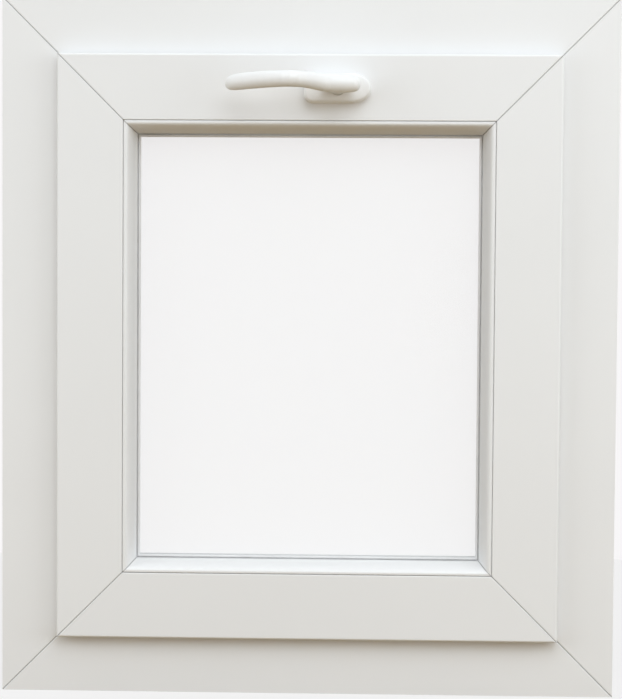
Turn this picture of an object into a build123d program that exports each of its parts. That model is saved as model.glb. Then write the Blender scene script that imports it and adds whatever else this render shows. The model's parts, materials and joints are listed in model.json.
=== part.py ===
"""Tilting window in hollow plastic sections: mitred outer frame, inward tilting sash with a
glazed unit, drive gear with handle, bottom hinges and two stay arms.

Millimetres. X runs to the right seen from the room, Y points outdoors, Z points up.
The origin is the middle of the sill's underside, at half the frame's depth.
A distance "in" is measured from the window's outer edge towards the middle of the glass.
"""

from build123d import *
import math
import os

os.makedirs("parts", exist_ok=True)

# ---------------------------------------------------------------- overall sizes
WIDTH = 600.0
HEIGHT = 680.0
FRAME_DEPTH = 70.0

# ---------------------------------------------------------------- outer frame section
REBATE_IN = 64.0
UPSTAND_RISE = 22.0
UPSTAND_THICKNESS = 12.0
OUTER_WALL = 2.8
INNER_WEB = 1.8
FRAME_STEEL_WIDTH = 30.0
FRAME_STEEL_DEPTH = 30.0
STEEL_WALL = 1.5
STEEL_CLEARANCE = 0.3
STEEL_END_GAP = 22.0
WELD_GROOVE = 1.3

# ---------------------------------------------------------------- sash section
SASH_DEPTH = 70.0
SASH_PROUD = 15.0
FLANGE_THICKNESS = 11.5
FLANGE_OVERLAP = 8.0
REBATE_GAP = 12.0
SASH_FACE = 64.0
GLAZING_LIP_RISE = 9.0
GLAZING_LIP_THICKNESS = 12.0
HARDWARE_AXIS_BEHIND_FLANGE = 13.0
GROOVE_WIDTH = 16.6
CHANNEL_WIDTH = 12.4
CHANNEL_CLEARANCE = 0.6
SASH_STEEL_WIDTH = 31.0
SASH_STEEL_DEPTH = 22.0

# ---------------------------------------------------------------- glazing
PANE_THICKNESS = 4.0
PANE_GAP = 16.0
GLASS_EDGE_GAP = 4.0
OUTER_GASKET = 4.0
INNER_GASKET = 3.5
SPACER_WIDTH = 4.0
SEAL_WIDTH = 2.5
GASKET_LIP = 1.5
BEAD_VISIBLE = 11.0
BEAD_CLEARANCE = 0.1
BEAD_GROOVE_WIDTH = 0.6
BEAD_GROOVE_DEPTH = 2.0
BEAD_MITRE_GAP = 0.12
BEAD_FOOT_WIDTH = 3.4
BEAD_FOOT_DEPTH = 3.2
BEAD_FOOT_SETBACK = 6.2
BLOCK_LENGTH = 80.0

# ---------------------------------------------------------------- handle and drive gear
HANDLE_OFFSET = 27.0
ROSETTE_LENGTH = 65.0
ROSETTE_WIDTH = 28.5
ROSETTE_HEIGHT = 11.0
ROSETTE_CORNER = 9.0
ROSETTE_NOSE = 20.0
ROSETTE_ROUND = 3.0
COVER_WALL = 1.8
BASE_THICKNESS = 5.0
COLLAR_RADIUS = 7.4
LEVER_WIDTH = 16.0
LEVER_GAP = 0.4
NECK_WIDTH = 12.5
NECK_REACH = 15.0
SPINDLE_IN_LEVER = 14.0
SPINDLE_SIDE = 7.0
SPINDLE_CLEARANCE = 0.1
SCREW_SPACING = 43.0
SCREW_RADIUS = 2.45
SCREW_HEAD_RADIUS = 4.4
SCREW_CLEARANCE = 0.05
MODULE = 1.25
PINION_TEETH = 15
PRESSURE_ANGLE = 25.0
GEAR_BACKLASH = 0.22
CASE_LENGTH = 84.0
CASE_DEPTH = 15.0
CASE_BELOW_AXIS = 13.5
JOURNAL_RADIUS = 7.0
RUNNING_CLEARANCE = 0.06
ROD_WIDTH = 10.0
RACK_WIDTH = 6.0
ROD_END_INSET = 34.0
FACEPLATE_WIDTH = 16.0
FACEPLATE_THICKNESS = 2.5
FACEPLATE_CLEARANCE = 0.12
FACEPLATE_INSET = 12.0
CAM_INSET = 74.0
CAM_RADIUS = 3.75
CAM_HEAD_RADIUS = 5.0
CAM_CLEARANCE = 1.4
KEEP_LENGTH = 46.0
KEEP_BASE = 2.5
KEEP_LIP_GAP = 0.6
KEEP_CLEARANCE = 3.0
HANDLE_TURN = 90.0

# ---------------------------------------------------------------- hinges and stays
PIVOT_ABOVE_REBATE = 5.0
TILT_ANGLE = 12.0
HINGE_LENGTH = 60.0
HINGE_INSET = 44.0
KNUCKLE_RADIUS = 4.4
HINGE_PIN_RADIUS = 2.5
HINGE_PLATE = 2.0
KNUCKLE_GAP = 0.5
STAY_HEADROOM = 87.0
STAY_WIDTH = 11.0
STAY_THICKNESS = 2.5
STAY_PIN_RADIUS = 3.0
STAY_PLATE = 2.0
STAY_PLATE_LENGTH = 56.0
TRACK_WIDTH = 14.0
TRACK_THICKNESS = 2.5
TRACK_LENGTH = 74.0
SLOT_CLEARANCE = 0.2

# ---------------------------------------------------------------- fixings and drainage
WALL_HOLE_RADIUS = 3.75
WALL_HOLE_INSET = 150.0
DRAIN_INSET = 150.0
DRAIN_HEIGHT = 20.0
DRAIN_CAP_LENGTH = 34.0
DRAIN_CAP_HEIGHT = 12.0
DRAIN_CAP_DEPTH = 4.0
LOOSE = 0.3
SMALL_SCREW_RADIUS = 2.0
SMALL_HOLE_RADIUS = SMALL_SCREW_RADIUS + 0.05
SMALL_HEAD_RADIUS = 3.4
PILOT_DEPTH = 24.0

# ---------------------------------------------------------------- derived levels
ROOM_FACE = -FRAME_DEPTH / 2
OUT_FACE = FRAME_DEPTH / 2
UPSTAND_FACE = OUT_FACE - UPSTAND_THICKNESS
SASH_ROOM = ROOM_FACE - SASH_PROUD
SASH_OUT = SASH_ROOM + SASH_DEPTH
FLANGE_BACK = SASH_ROOM + FLANGE_THICKNESS
FLANGE_IN = REBATE_IN - FLANGE_OVERLAP
SASH_IN = REBATE_IN + REBATE_GAP
BEAD_IN = FLANGE_IN + SASH_FACE
SIGHT_IN = BEAD_IN + GLAZING_LIP_RISE
LIP_FACE = SASH_OUT - GLAZING_LIP_THICKNESS
HARDWARE_Y = FLANGE_BACK + HARDWARE_AXIS_BEHIND_FLANGE
GLASS_IN = BEAD_IN + GLASS_EDGE_GAP
PANE_OUT_Y = LIP_FACE - OUTER_GASKET - PANE_THICKNESS
PANE_IN_Y = PANE_OUT_Y - PANE_GAP - PANE_THICKNESS
BEAD_BACK = PANE_IN_Y - INNER_GASKET
PIVOT_Z = REBATE_IN + PIVOT_ABOVE_REBATE
SASH_EDGE_TOP = HEIGHT - SASH_IN
HEAD_REBATE = HEIGHT - REBATE_IN
GROOVE_DEPTH = FACEPLATE_THICKNESS
SEAT_IN = SASH_IN + GROOVE_DEPTH
PLATE_TOP = SASH_EDGE_TOP
PLATE_BOTTOM = PLATE_TOP - FACEPLATE_THICKNESS
ROD_TOP = PLATE_BOTTOM - FACEPLATE_CLEARANCE
PITCH_RADIUS = MODULE * PINION_TEETH / 2
PITCH_Z = ROD_TOP - 1.25 * MODULE
ROD_BOTTOM = PITCH_Z - MODULE
HANDLE_Z = PITCH_Z - PITCH_RADIUS
CHANNEL_DEPTH = SASH_EDGE_TOP - ROD_BOTTOM + CHANNEL_CLEARANCE
ROD_TRAVEL = PITCH_RADIUS * math.radians(HANDLE_TURN)
CAM_X = WIDTH / 2 - SASH_IN - CAM_INSET
CAM_TOP = HEAD_REBATE - KEEP_BASE - CAM_CLEARANCE
KEEP_BOTTOM = SASH_EDGE_TOP + KEEP_CLEARANCE
STAY_END_Z = HEAD_REBATE - STAY_HEADROOM
STAY_LENGTH = (STAY_END_Z - PIVOT_Z) / 2
STAY_PIVOT_Z = PIVOT_Z + STAY_LENGTH
STAY_SLIDE = 2 * STAY_LENGTH * (1 - math.cos(math.radians(TILT_ANGLE)))

SIDES = ("bottom", "top", "left", "right")


# ================================================================ shared helpers
def save(builder, name):
    """Label a finished piece and write it as its own STEP file."""
    builder.part.label = name
    export_step(builder.part, f"parts/{name}.step")


def side_plane(side, inset):
    """Plane across a member: local x runs inwards, local y is the window's Y."""
    half_width = WIDTH / 2 - inset
    half_height = HEIGHT / 2 - inset
    planes = {
        "bottom": Plane(origin=(0, 0, inset), x_dir=(0, 0, 1), z_dir=(-1, 0, 0)),
        "top": Plane(origin=(0, 0, HEIGHT - inset), x_dir=(0, 0, -1), z_dir=(1, 0, 0)),
        "left": Plane(origin=(-half_width, 0, HEIGHT / 2), x_dir=(1, 0, 0), z_dir=(0, 0, 1)),
        "right": Plane(origin=(half_width, 0, HEIGHT / 2), x_dir=(-1, 0, 0), z_dir=(0, 0, -1)),
    }
    length = half_width if side in ("bottom", "top") else half_height
    return planes[side], length


def mitre_outline(side, inset, gap):
    """Corners, in X and Z, of the region that one mitred member may fill."""
    left = -WIDTH / 2 + inset
    right = WIDTH / 2 - inset
    low = inset
    high = HEIGHT - inset
    reach = min(right - left, high - low) * 0.45
    outlines = {
        "bottom": [(left + gap, low), (right - gap, low),
                   (right - gap - reach, low + reach), (left + gap + reach, low + reach)],
        "top": [(left + gap, high), (right - gap, high),
                (right - gap - reach, high - reach), (left + gap + reach, high - reach)],
        "left": [(left, low + gap), (left + reach, low + gap + reach),
                 (left + reach, high - gap - reach), (left, high - gap)],
        "right": [(right, low + gap), (right - reach, low + gap + reach),
                  (right - reach, high - gap - reach), (right, high - gap)],
    }
    return outlines[side]


def rectangle_between(in_low, in_high, y_low, y_high, mode=Mode.ADD):
    """Rectangle in a section sketch, given by its four limits."""
    with Locations(((in_low + in_high) / 2, (y_low + y_high) / 2)):
        Rectangle(in_high - in_low, y_high - y_low, mode=mode)


def box_between(x_low, x_high, y_low, y_high, z_low, z_high, mode=Mode.ADD):
    """Box in a part, given by its six limits."""
    centre = ((x_low + x_high) / 2, (y_low + y_high) / 2, (z_low + z_high) / 2)
    with Locations(centre):
        Box(x_high - x_low, y_high - y_low, z_high - z_low, mode=mode)


def rod_along(axis, centre, radius, length, mode=Mode.ADD):
    """Cylinder along X, Y or Z about a centre point."""
    turn = {"X": (0, 90, 0), "Y": (90, 0, 0), "Z": (0, 0, 0)}[axis]
    with Locations(centre):
        Cylinder(radius, length, rotation=turn, mode=mode)


def closed_outline(points):
    """Face inside a closed polyline."""
    with BuildLine() as outline:
        Polyline(*points, close=True)
    make_face(outline.edges())


def round_corner(sketch, point, radius):
    """Round the section's corner nearest to a point."""
    fillet(sketch.vertices().sort_by_distance((point[0], point[1], 0))[0], radius)


def cut_mitres(side, inset, gap=0.0):
    """Keep only the part of a member that lies between its two mitres."""
    with BuildSketch(Plane.XZ) as region:
        closed_outline(mitre_outline(side, inset, gap))
    extrude(region.sketch, amount=FRAME_DEPTH * 2, both=True, mode=Mode.INTERSECT)


def cut_weld_grooves(side, outer_in, inner_in, face_y):
    """V grooves, half in each of the two welded members, along the mitres of a flat face."""
    left = -WIDTH / 2 + outer_in
    right = WIDTH / 2 - outer_in
    low = outer_in
    high = HEIGHT - outer_in
    length = (inner_in - outer_in) * math.sqrt(2)
    corners = {
        ("bottom", "left"): ((left, low), (1, 1)),
        ("bottom", "right"): ((right, low), (-1, 1)),
        ("top", "left"): ((left, high), (1, -1)),
        ("top", "right"): ((right, high), (-1, -1)),
    }
    for pair, (corner, heading) in corners.items():
        if side in pair:
            origin = (corner[0], face_y, corner[1])
            across = Plane(origin=origin, x_dir=(0, 1, 0), z_dir=(heading[0], 0, heading[1]))
            with BuildSketch(across) as groove:
                Rectangle(WELD_GROOVE, WELD_GROOVE, rotation=45)
            extrude(groove.sketch, amount=length, mode=Mode.SUBTRACT)


# ================================================================ outer frame
STEEL_IN = OUTER_WALL + INNER_WEB + 14.0
FRAME_CHAMBER_Y = -FRAME_DEPTH / 2 + 19.0


def frame_section():
    """Hollow section of the outer frame with its outdoor upstand."""
    upstand_in = REBATE_IN + UPSTAND_RISE
    with BuildSketch(Plane.XY) as outline:
        closed_outline([
            (0, ROOM_FACE), (REBATE_IN, ROOM_FACE), (REBATE_IN, UPSTAND_FACE),
            (upstand_in, UPSTAND_FACE), (upstand_in, OUT_FACE), (0, OUT_FACE),
        ])
        round_corner(outline, (REBATE_IN, ROOM_FACE), 1.5)
        round_corner(outline, (upstand_in, UPSTAND_FACE), 1.0)
        round_corner(outline, (upstand_in, OUT_FACE), 2.0)
    add(outline.sketch_local)
    steel_high = FRAME_CHAMBER_Y + FRAME_STEEL_DEPTH
    steel_end = STEEL_IN + FRAME_STEEL_WIDTH
    cut = Mode.SUBTRACT
    rectangle_between(STEEL_IN, steel_end, FRAME_CHAMBER_Y, steel_high, cut)
    rectangle_between(OUTER_WALL, STEEL_IN - INNER_WEB, FRAME_CHAMBER_Y, steel_high, cut)
    rectangle_between(steel_end + INNER_WEB, REBATE_IN - OUTER_WALL,
                      FRAME_CHAMBER_Y, steel_high, cut)
    rectangle_between(OUTER_WALL, REBATE_IN - OUTER_WALL,
                      ROOM_FACE + OUTER_WALL, FRAME_CHAMBER_Y - INNER_WEB, cut)
    rectangle_between(OUTER_WALL, REBATE_IN - OUTER_WALL,
                      steel_high + INNER_WEB, OUT_FACE - OUTER_WALL, cut)
    rectangle_between(REBATE_IN, upstand_in - OUTER_WALL,
                      UPSTAND_FACE + OUTER_WALL, OUT_FACE - OUTER_WALL, cut)


def wall_hole_places():
    """Y and Z of the fixing holes in a jamb."""
    middle = FRAME_CHAMBER_Y + FRAME_STEEL_DEPTH / 2
    return [(middle, WALL_HOLE_INSET), (middle, HEIGHT - WALL_HOLE_INSET)]


def drill_wall_holes():
    """Fixing holes along X through both jambs."""
    for y, z in wall_hole_places():
        for sign in (-1, 1):
            centre = (sign * (WIDTH / 2 - REBATE_IN / 2), y, z)
            rod_along("X", centre, WALL_HOLE_RADIUS, REBATE_IN + 2, Mode.SUBTRACT)


def drill_frame_pilots(side):
    """Pilot holes for the keep, hinge and stay screws, from the rebate into a frame member."""
    cut = Mode.SUBTRACT
    if side == "top":
        for cam_x in (-CAM_X, CAM_X):
            for x in keep_screw_places(cam_x):
                rod_along("Z", (x, HARDWARE_Y, HEAD_REBATE), SMALL_HOLE_RADIUS, PILOT_DEPTH, cut)
    if side == "bottom":
        for sign in (-1, 1):
            for x in hinge_screw_places(hinge_centre(sign)):
                rod_along("Z", (x, HARDWARE_Y + 1, REBATE_IN), SMALL_HOLE_RADIUS, PILOT_DEPTH, cut)
    if side in ("left", "right"):
        sign = -1 if side == "left" else 1
        for z in stay_screw_places():
            side_rod(sign, REBATE_IN - PILOT_DEPTH / 2, REBATE_IN + 1, z, SMALL_HOLE_RADIUS, cut)


def drill_sash_pilots(side):
    """Pilot holes for the faceplate, hinge and stay screws, from the edge into a sash member."""
    cut = Mode.SUBTRACT
    if side == "top":
        for x in faceplate_screw_places():
            rod_along("Z", (x, HARDWARE_Y, SASH_EDGE_TOP - PILOT_DEPTH / 2), SMALL_HOLE_RADIUS,
                      PILOT_DEPTH, cut)
    if side == "bottom":
        for sign in (-1, 1):
            for x in hinge_screw_places(hinge_centre(sign)):
                rod_along("Z", (x, HARDWARE_Y + 1, SASH_IN), SMALL_HOLE_RADIUS, PILOT_DEPTH, cut)
    if side in ("left", "right"):
        sign = -1 if side == "left" else 1
        for z in track_screw_places():
            side_rod(sign, SASH_IN - 1, SASH_IN + PILOT_DEPTH / 2, z, SMALL_HOLE_RADIUS, cut)


def frame_member(side):
    """One mitred member of the outer frame."""
    plane, half_length = side_plane(side, 0)
    with BuildPart() as member:
        with BuildSketch(plane):
            frame_section()
        extrude(amount=half_length, both=True)
        cut_mitres(side, 0)
        cut_weld_grooves(side, 0, REBATE_IN, ROOM_FACE)
        drill_frame_pilots(side)
        if side in ("left", "right"):
            drill_wall_holes()
        if side == "bottom":
            for sign in (-1, 1):
                drain_x = sign * (WIDTH / 2 - DRAIN_INSET)
                box_between(drain_x - 12, drain_x + 12, OUT_FACE - OUTER_WALL - 1, OUT_FACE + 1,
                            DRAIN_HEIGHT - 2.5, DRAIN_HEIGHT + 2.5, Mode.SUBTRACT)
    names = {"bottom": "frame_sill", "top": "frame_head",
             "left": "frame_jamb_left", "right": "frame_jamb_right"}
    save(member, names[side])


def steel_tube(side, inset, in_low, width, y_low, depth, end_gap):
    """Square steel tube lying loose in a member's chamber."""
    plane, half_length = side_plane(side, inset)
    with BuildSketch(plane) as section:
        low = in_low - inset + STEEL_CLEARANCE
        high = in_low - inset + width - STEEL_CLEARANCE
        y_start = y_low + STEEL_CLEARANCE
        y_end = y_low + depth - STEEL_CLEARANCE
        rectangle_between(low, high, y_start, y_end)
        rectangle_between(low + STEEL_WALL, high - STEEL_WALL,
                          y_start + STEEL_WALL, y_end - STEEL_WALL, Mode.SUBTRACT)
    extrude(section.sketch, amount=half_length - (in_low - inset) - width - end_gap, both=True)


def frame_reinforcement():
    """Steel tubes in the four frame members."""
    with BuildPart() as steel:
        for side in SIDES:
            steel_tube(side, 0, STEEL_IN, FRAME_STEEL_WIDTH,
                       FRAME_CHAMBER_Y, FRAME_STEEL_DEPTH, STEEL_END_GAP)
        drill_wall_holes()
    save(steel, "frame_reinforcement")


def ring(in_low, in_high, y_low, y_high):
    """Rectangular ring around the opening."""
    with BuildSketch(Plane.XZ.offset(-y_low)) as outline:
        with Locations((0, HEIGHT / 2)):
            Rectangle(WIDTH - 2 * in_low, HEIGHT - 2 * in_low)
            Rectangle(WIDTH - 2 * in_high, HEIGHT - 2 * in_high, mode=Mode.SUBTRACT)
    extrude(outline.sketch, amount=-(y_high - y_low))


def frame_gasket():
    """Rubber seal on the upstand, against the sash's outdoor face."""
    with BuildPart() as seal:
        ring(SASH_IN + 2.5, SASH_IN + 8.0, SASH_OUT + LOOSE, UPSTAND_FACE)
    save(seal, "frame_gasket")


def drainage_caps():
    """Hooded covers over the drain slots, on the outdoor face of the sill."""
    with BuildPart() as caps:
        for sign in (-1, 1):
            x = sign * (WIDTH / 2 - DRAIN_INSET)
            box_between(x - DRAIN_CAP_LENGTH / 2, x + DRAIN_CAP_LENGTH / 2,
                        OUT_FACE, OUT_FACE + DRAIN_CAP_DEPTH,
                        DRAIN_HEIGHT - DRAIN_CAP_HEIGHT / 2, DRAIN_HEIGHT + DRAIN_CAP_HEIGHT / 2)
            box_between(x - DRAIN_CAP_LENGTH / 2 + 3, x + DRAIN_CAP_LENGTH / 2 - 3,
                        OUT_FACE - 1, OUT_FACE + DRAIN_CAP_DEPTH - 1.2,
                        DRAIN_HEIGHT - DRAIN_CAP_HEIGHT / 2 - 1, DRAIN_HEIGHT + 3, Mode.SUBTRACT)
        fillet(caps.edges().filter_by(Axis.X).group_by(Axis.Y)[-1].group_by(Axis.Z)[-1], 1.5)
    save(caps, "drainage_caps")


# ================================================================ sash
SASH_CHAMBER_Y = HARDWARE_Y + GROOVE_WIDTH / 2 + 3.4


def sash_section(inset):
    """Hollow section of the sash; local x is counted from the flange edge."""
    def local(in_value):
        return in_value - inset

    foot_low = SASH_ROOM + BEAD_FOOT_SETBACK - 0.2
    foot_high = foot_low + BEAD_FOOT_WIDTH + 0.4
    foot_in = BEAD_IN - BEAD_FOOT_DEPTH - 0.2
    with BuildSketch(Plane.XY) as outline:
        closed_outline([
            (local(FLANGE_IN), SASH_ROOM), (local(BEAD_IN), SASH_ROOM),
            (local(BEAD_IN), LIP_FACE), (local(SIGHT_IN), LIP_FACE),
            (local(SIGHT_IN), SASH_OUT), (local(SASH_IN), SASH_OUT),
            (local(SASH_IN), FLANGE_BACK), (local(FLANGE_IN), FLANGE_BACK),
        ])
        round_corner(outline, (local(FLANGE_IN), SASH_ROOM), 2.2)
        round_corner(outline, (local(BEAD_IN), SASH_ROOM), 0.8)
        round_corner(outline, (local(SIGHT_IN), SASH_OUT), 2.0)
        round_corner(outline, (local(SASH_IN), SASH_OUT), 1.0)
    add(outline.sketch_local)
    cut = Mode.SUBTRACT
    rectangle_between(local(foot_in), local(BEAD_IN) + 1, foot_low, foot_high, cut)
    groove_low = HARDWARE_Y - GROOVE_WIDTH / 2
    groove_high = HARDWARE_Y + GROOVE_WIDTH / 2
    rectangle_between(local(SASH_IN) - 1, local(SASH_IN) + GROOVE_DEPTH, groove_low, groove_high, cut)
    rectangle_between(local(SASH_IN), local(SASH_IN) + CHANNEL_DEPTH,
                      HARDWARE_Y - CHANNEL_WIDTH / 2, HARDWARE_Y + CHANNEL_WIDTH / 2, cut)
    room_web = SASH_ROOM + OUTER_WALL
    chamber_end = local(foot_in) - INNER_WEB
    rectangle_between(local(FLANGE_IN) + OUTER_WALL, chamber_end,
                      room_web, FLANGE_BACK - OUTER_WALL, cut)
    rectangle_between(local(SASH_IN) + CHANNEL_DEPTH + INNER_WEB, chamber_end,
                      FLANGE_BACK - 1.0, SASH_CHAMBER_Y - INNER_WEB, cut)
    steel_in = local(BEAD_IN) - OUTER_WALL - SASH_STEEL_WIDTH
    rectangle_between(steel_in, steel_in + SASH_STEEL_WIDTH,
                      SASH_CHAMBER_Y, SASH_CHAMBER_Y + SASH_STEEL_DEPTH, cut)
    rectangle_between(local(SASH_IN) + OUTER_WALL, steel_in - INNER_WEB,
                      SASH_CHAMBER_Y, SASH_CHAMBER_Y + SASH_STEEL_DEPTH, cut)
    rectangle_between(local(SASH_IN) + OUTER_WALL, local(SIGHT_IN) - OUTER_WALL,
                      LIP_FACE + 4.5, SASH_OUT - OUTER_WALL, cut)


def cut_gearbox_pocket():
    """Milled pocket for the gear case, with the spindle and handle screw holes."""
    half = CASE_LENGTH / 2 + LOOSE
    deep = CASE_DEPTH / 2 + LOOSE
    box_between(HANDLE_OFFSET - half, HANDLE_OFFSET + half, HARDWARE_Y - deep, HARDWARE_Y + deep,
                HANDLE_Z - CASE_BELOW_AXIS - LOOSE, SASH_EDGE_TOP + 1, Mode.SUBTRACT)
    wall = SASH_ROOM - 1, HARDWARE_Y
    middle = (wall[0] + wall[1]) / 2
    length = wall[1] - wall[0]
    rod_along("Y", (HANDLE_OFFSET, middle, HANDLE_Z), SPINDLE_SIDE * 0.85, length, Mode.SUBTRACT)
    for sign in (-1, 1):
        centre = (HANDLE_OFFSET + sign * SCREW_SPACING / 2, middle, HANDLE_Z)
        rod_along("Y", centre, SCREW_RADIUS + 0.3, length, Mode.SUBTRACT)


def sash_member(side):
    """One mitred member of the sash."""
    plane, half_length = side_plane(side, FLANGE_IN)
    with BuildPart() as member:
        with BuildSketch(plane):
            sash_section(FLANGE_IN)
        extrude(amount=half_length, both=True)
        cut_mitres(side, FLANGE_IN)
        cut_weld_grooves(side, FLANGE_IN, BEAD_IN, SASH_ROOM)
        drill_sash_pilots(side)
        if side == "top":
            cut_gearbox_pocket()
    names = {"bottom": "sash_bottom_rail", "top": "sash_top_rail",
             "left": "sash_stile_left", "right": "sash_stile_right"}
    save(member, names[side])


def sash_reinforcement():
    """Steel tubes in the four sash members."""
    steel_in = BEAD_IN - OUTER_WALL - SASH_STEEL_WIDTH
    with BuildPart() as steel:
        for side in SIDES:
            steel_tube(side, FLANGE_IN, steel_in, SASH_STEEL_WIDTH,
                       SASH_CHAMBER_Y, SASH_STEEL_DEPTH, 6.0)
    save(steel, "sash_reinforcement")


GASKET_OUTER_IN = FLANGE_IN + 2.0
GASKET_INNER_IN = FLANGE_IN + 6.5
LOW_GASKET_OUTER_IN = FLANGE_IN + 4.5
GASKET_SPLIT_Z = PIVOT_Z + 3.0


def sash_gasket():
    """Rubber seal behind the flange, along the top and both sides."""
    with BuildPart() as seal:
        ring(GASKET_OUTER_IN, GASKET_INNER_IN, FLANGE_BACK, ROOM_FACE - LOOSE)
        box_between(-WIDTH / 2, WIDTH / 2, FLANGE_BACK - 1, ROOM_FACE + 1,
                    0, GASKET_SPLIT_Z, Mode.SUBTRACT)
    save(seal, "sash_gasket")


def sash_gasket_bottom():
    """Low seal behind the bottom flange, squeezed flat beside the hinge axis."""
    with BuildPart() as seal:
        ring(LOW_GASKET_OUTER_IN, REBATE_IN - 0.2, FLANGE_BACK, FLANGE_BACK + 1.0)
        box_between(-WIDTH / 2, WIDTH / 2, FLANGE_BACK - 1, ROOM_FACE + 1,
                    GASKET_SPLIT_Z - LOOSE, HEIGHT, Mode.SUBTRACT)
    save(seal, "sash_gasket_bottom")


# ================================================================ glazing
def glass_panes():
    """Two panes of the sealed unit."""
    for name, y_low in (("glass_inner", PANE_IN_Y), ("glass_outer", PANE_OUT_Y)):
        with BuildPart() as pane:
            box_between(-WIDTH / 2 + GLASS_IN, WIDTH / 2 - GLASS_IN, y_low, y_low + PANE_THICKNESS,
                        GLASS_IN, HEIGHT - GLASS_IN)
            chamfer(pane.edges().filter_by(Axis.Y), 0.5)
        save(pane, name)


def glass_edge():
    """Spacer bar and edge seal between the panes."""
    gap_low = PANE_IN_Y + PANE_THICKNESS
    with BuildPart() as spacer:
        ring(GLASS_IN + SEAL_WIDTH, GLASS_IN + SEAL_WIDTH + SPACER_WIDTH, gap_low, PANE_OUT_Y)
    save(spacer, "glass_spacer")
    with BuildPart() as seal:
        ring(GLASS_IN, GLASS_IN + SEAL_WIDTH, gap_low, PANE_OUT_Y)
    save(seal, "glass_edge_seal")


def glazing_gaskets():
    """Rubber seals either side of the glazed unit."""
    with BuildPart() as outer:
        ring(GLASS_IN, SIGHT_IN, LIP_FACE - OUTER_GASKET, LIP_FACE)
    save(outer, "glazing_gasket_outer")
    with BuildPart() as inner:
        ring(GLASS_IN, BEAD_IN + BEAD_VISIBLE + GASKET_LIP, BEAD_BACK, PANE_IN_Y)
    save(inner, "glazing_gasket_inner")


def setting_blocks():
    """Plastic blocks that carry and centre the glazed unit."""
    y_low = PANE_IN_Y
    y_high = LIP_FACE
    half_width = WIDTH / 2 - BEAD_IN
    with BuildPart() as blocks:
        for sign in (-1, 1):
            x = sign * (half_width - BLOCK_LENGTH / 2 - 30)
            box_between(x - BLOCK_LENGTH / 2, x + BLOCK_LENGTH / 2, y_low, y_high,
                        BEAD_IN, GLASS_IN)
            side_low = min(sign * half_width, sign * (half_width - GLASS_EDGE_GAP))
            box_between(side_low, side_low + GLASS_EDGE_GAP, y_low, y_high,
                        HEIGHT - BEAD_IN - 30 - BLOCK_LENGTH, HEIGHT - BEAD_IN - 30)
    save(blocks, "setting_blocks")


def bead_section():
    """Glazing bead: flush with the sash face, falling away in a curve towards the glass."""
    base = BEAD_CLEARANCE
    back = BEAD_BACK
    with BuildLine() as outline:
        room_end = (base + 2.4, SASH_ROOM)
        shoulder = (BEAD_VISIBLE - 1.2, back - 6.0)
        Line((base, back), (base, SASH_ROOM + BEAD_FOOT_SETBACK + BEAD_FOOT_WIDTH))
        Polyline((base, SASH_ROOM + BEAD_FOOT_SETBACK + BEAD_FOOT_WIDTH),
                 (-BEAD_FOOT_DEPTH, SASH_ROOM + BEAD_FOOT_SETBACK + BEAD_FOOT_WIDTH),
                 (-BEAD_FOOT_DEPTH, SASH_ROOM + BEAD_FOOT_SETBACK),
                 (base, SASH_ROOM + BEAD_FOOT_SETBACK),
                 (base, SASH_ROOM + BEAD_GROOVE_DEPTH),
                 (base + BEAD_GROOVE_WIDTH, SASH_ROOM + BEAD_GROOVE_DEPTH),
                 (base + BEAD_GROOVE_WIDTH, SASH_ROOM + 0.5),
                 (base + BEAD_GROOVE_WIDTH + 0.5, SASH_ROOM), room_end)
        Bezier(room_end, (base + 6.0, SASH_ROOM), (BEAD_VISIBLE - 3.0, back - 16.0), shoulder)
        Polyline(shoulder, (BEAD_VISIBLE, back - 1.5), (BEAD_VISIBLE, back), (base, back))
    make_face(outline.edges())


def glazing_beads():
    """Four mitred beads clipped into the sash on the room side."""
    for side in SIDES:
        plane, half_length = side_plane(side, BEAD_IN)
        with BuildPart() as bead:
            with BuildSketch(plane):
                bead_section()
            extrude(amount=half_length + BEAD_FOOT_DEPTH, both=True)
            cut_mitres(side, BEAD_IN - BEAD_FOOT_DEPTH, BEAD_MITRE_GAP)
        save(bead, f"glazing_bead_{side}")


# ================================================================ handle
def rosette_outline(inset):
    """Cover outline drawn in by an inset: two round corners on the lever's side and an oval
    nose on the other."""
    left = inset - ROSETTE_LENGTH / 2
    nose_x = ROSETTE_LENGTH / 2 - ROSETTE_NOSE
    half_width = ROSETTE_WIDTH / 2 - inset
    with BuildSketch() as outline:
        with Locations(((left + nose_x) / 2, 0)):
            Rectangle(nose_x - left, 2 * half_width)
        fillet(outline.vertices().group_by(Axis.X)[0], ROSETTE_CORNER - inset)
        with Locations((nose_x, 0)):
            Ellipse(ROSETTE_NOSE - inset, half_width)
    return outline.sketch


def room_plane(y):
    """Plane facing the room at depth y, centred on the handle's axis."""
    return Plane(origin=(HANDLE_OFFSET, y, HANDLE_Z), x_dir=(1, 0, 0), z_dir=(0, -1, 0))


def handle_base():
    """Fixed base plate under the cover, with the collar bearing."""
    with BuildPart() as base:
        with BuildSketch(room_plane(SASH_ROOM)):
            add(rosette_outline(COVER_WALL + 0.2))
        extrude(amount=BASE_THICKNESS)
        with BuildSketch(room_plane(SASH_ROOM)):
            Circle(COLLAR_RADIUS + RUNNING_CLEARANCE)
            with GridLocations(SCREW_SPACING, 0, 2, 1):
                Circle(SCREW_RADIUS + SCREW_CLEARANCE)
        extrude(amount=BASE_THICKNESS, mode=Mode.SUBTRACT)
    save(base, "handle_base")


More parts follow.
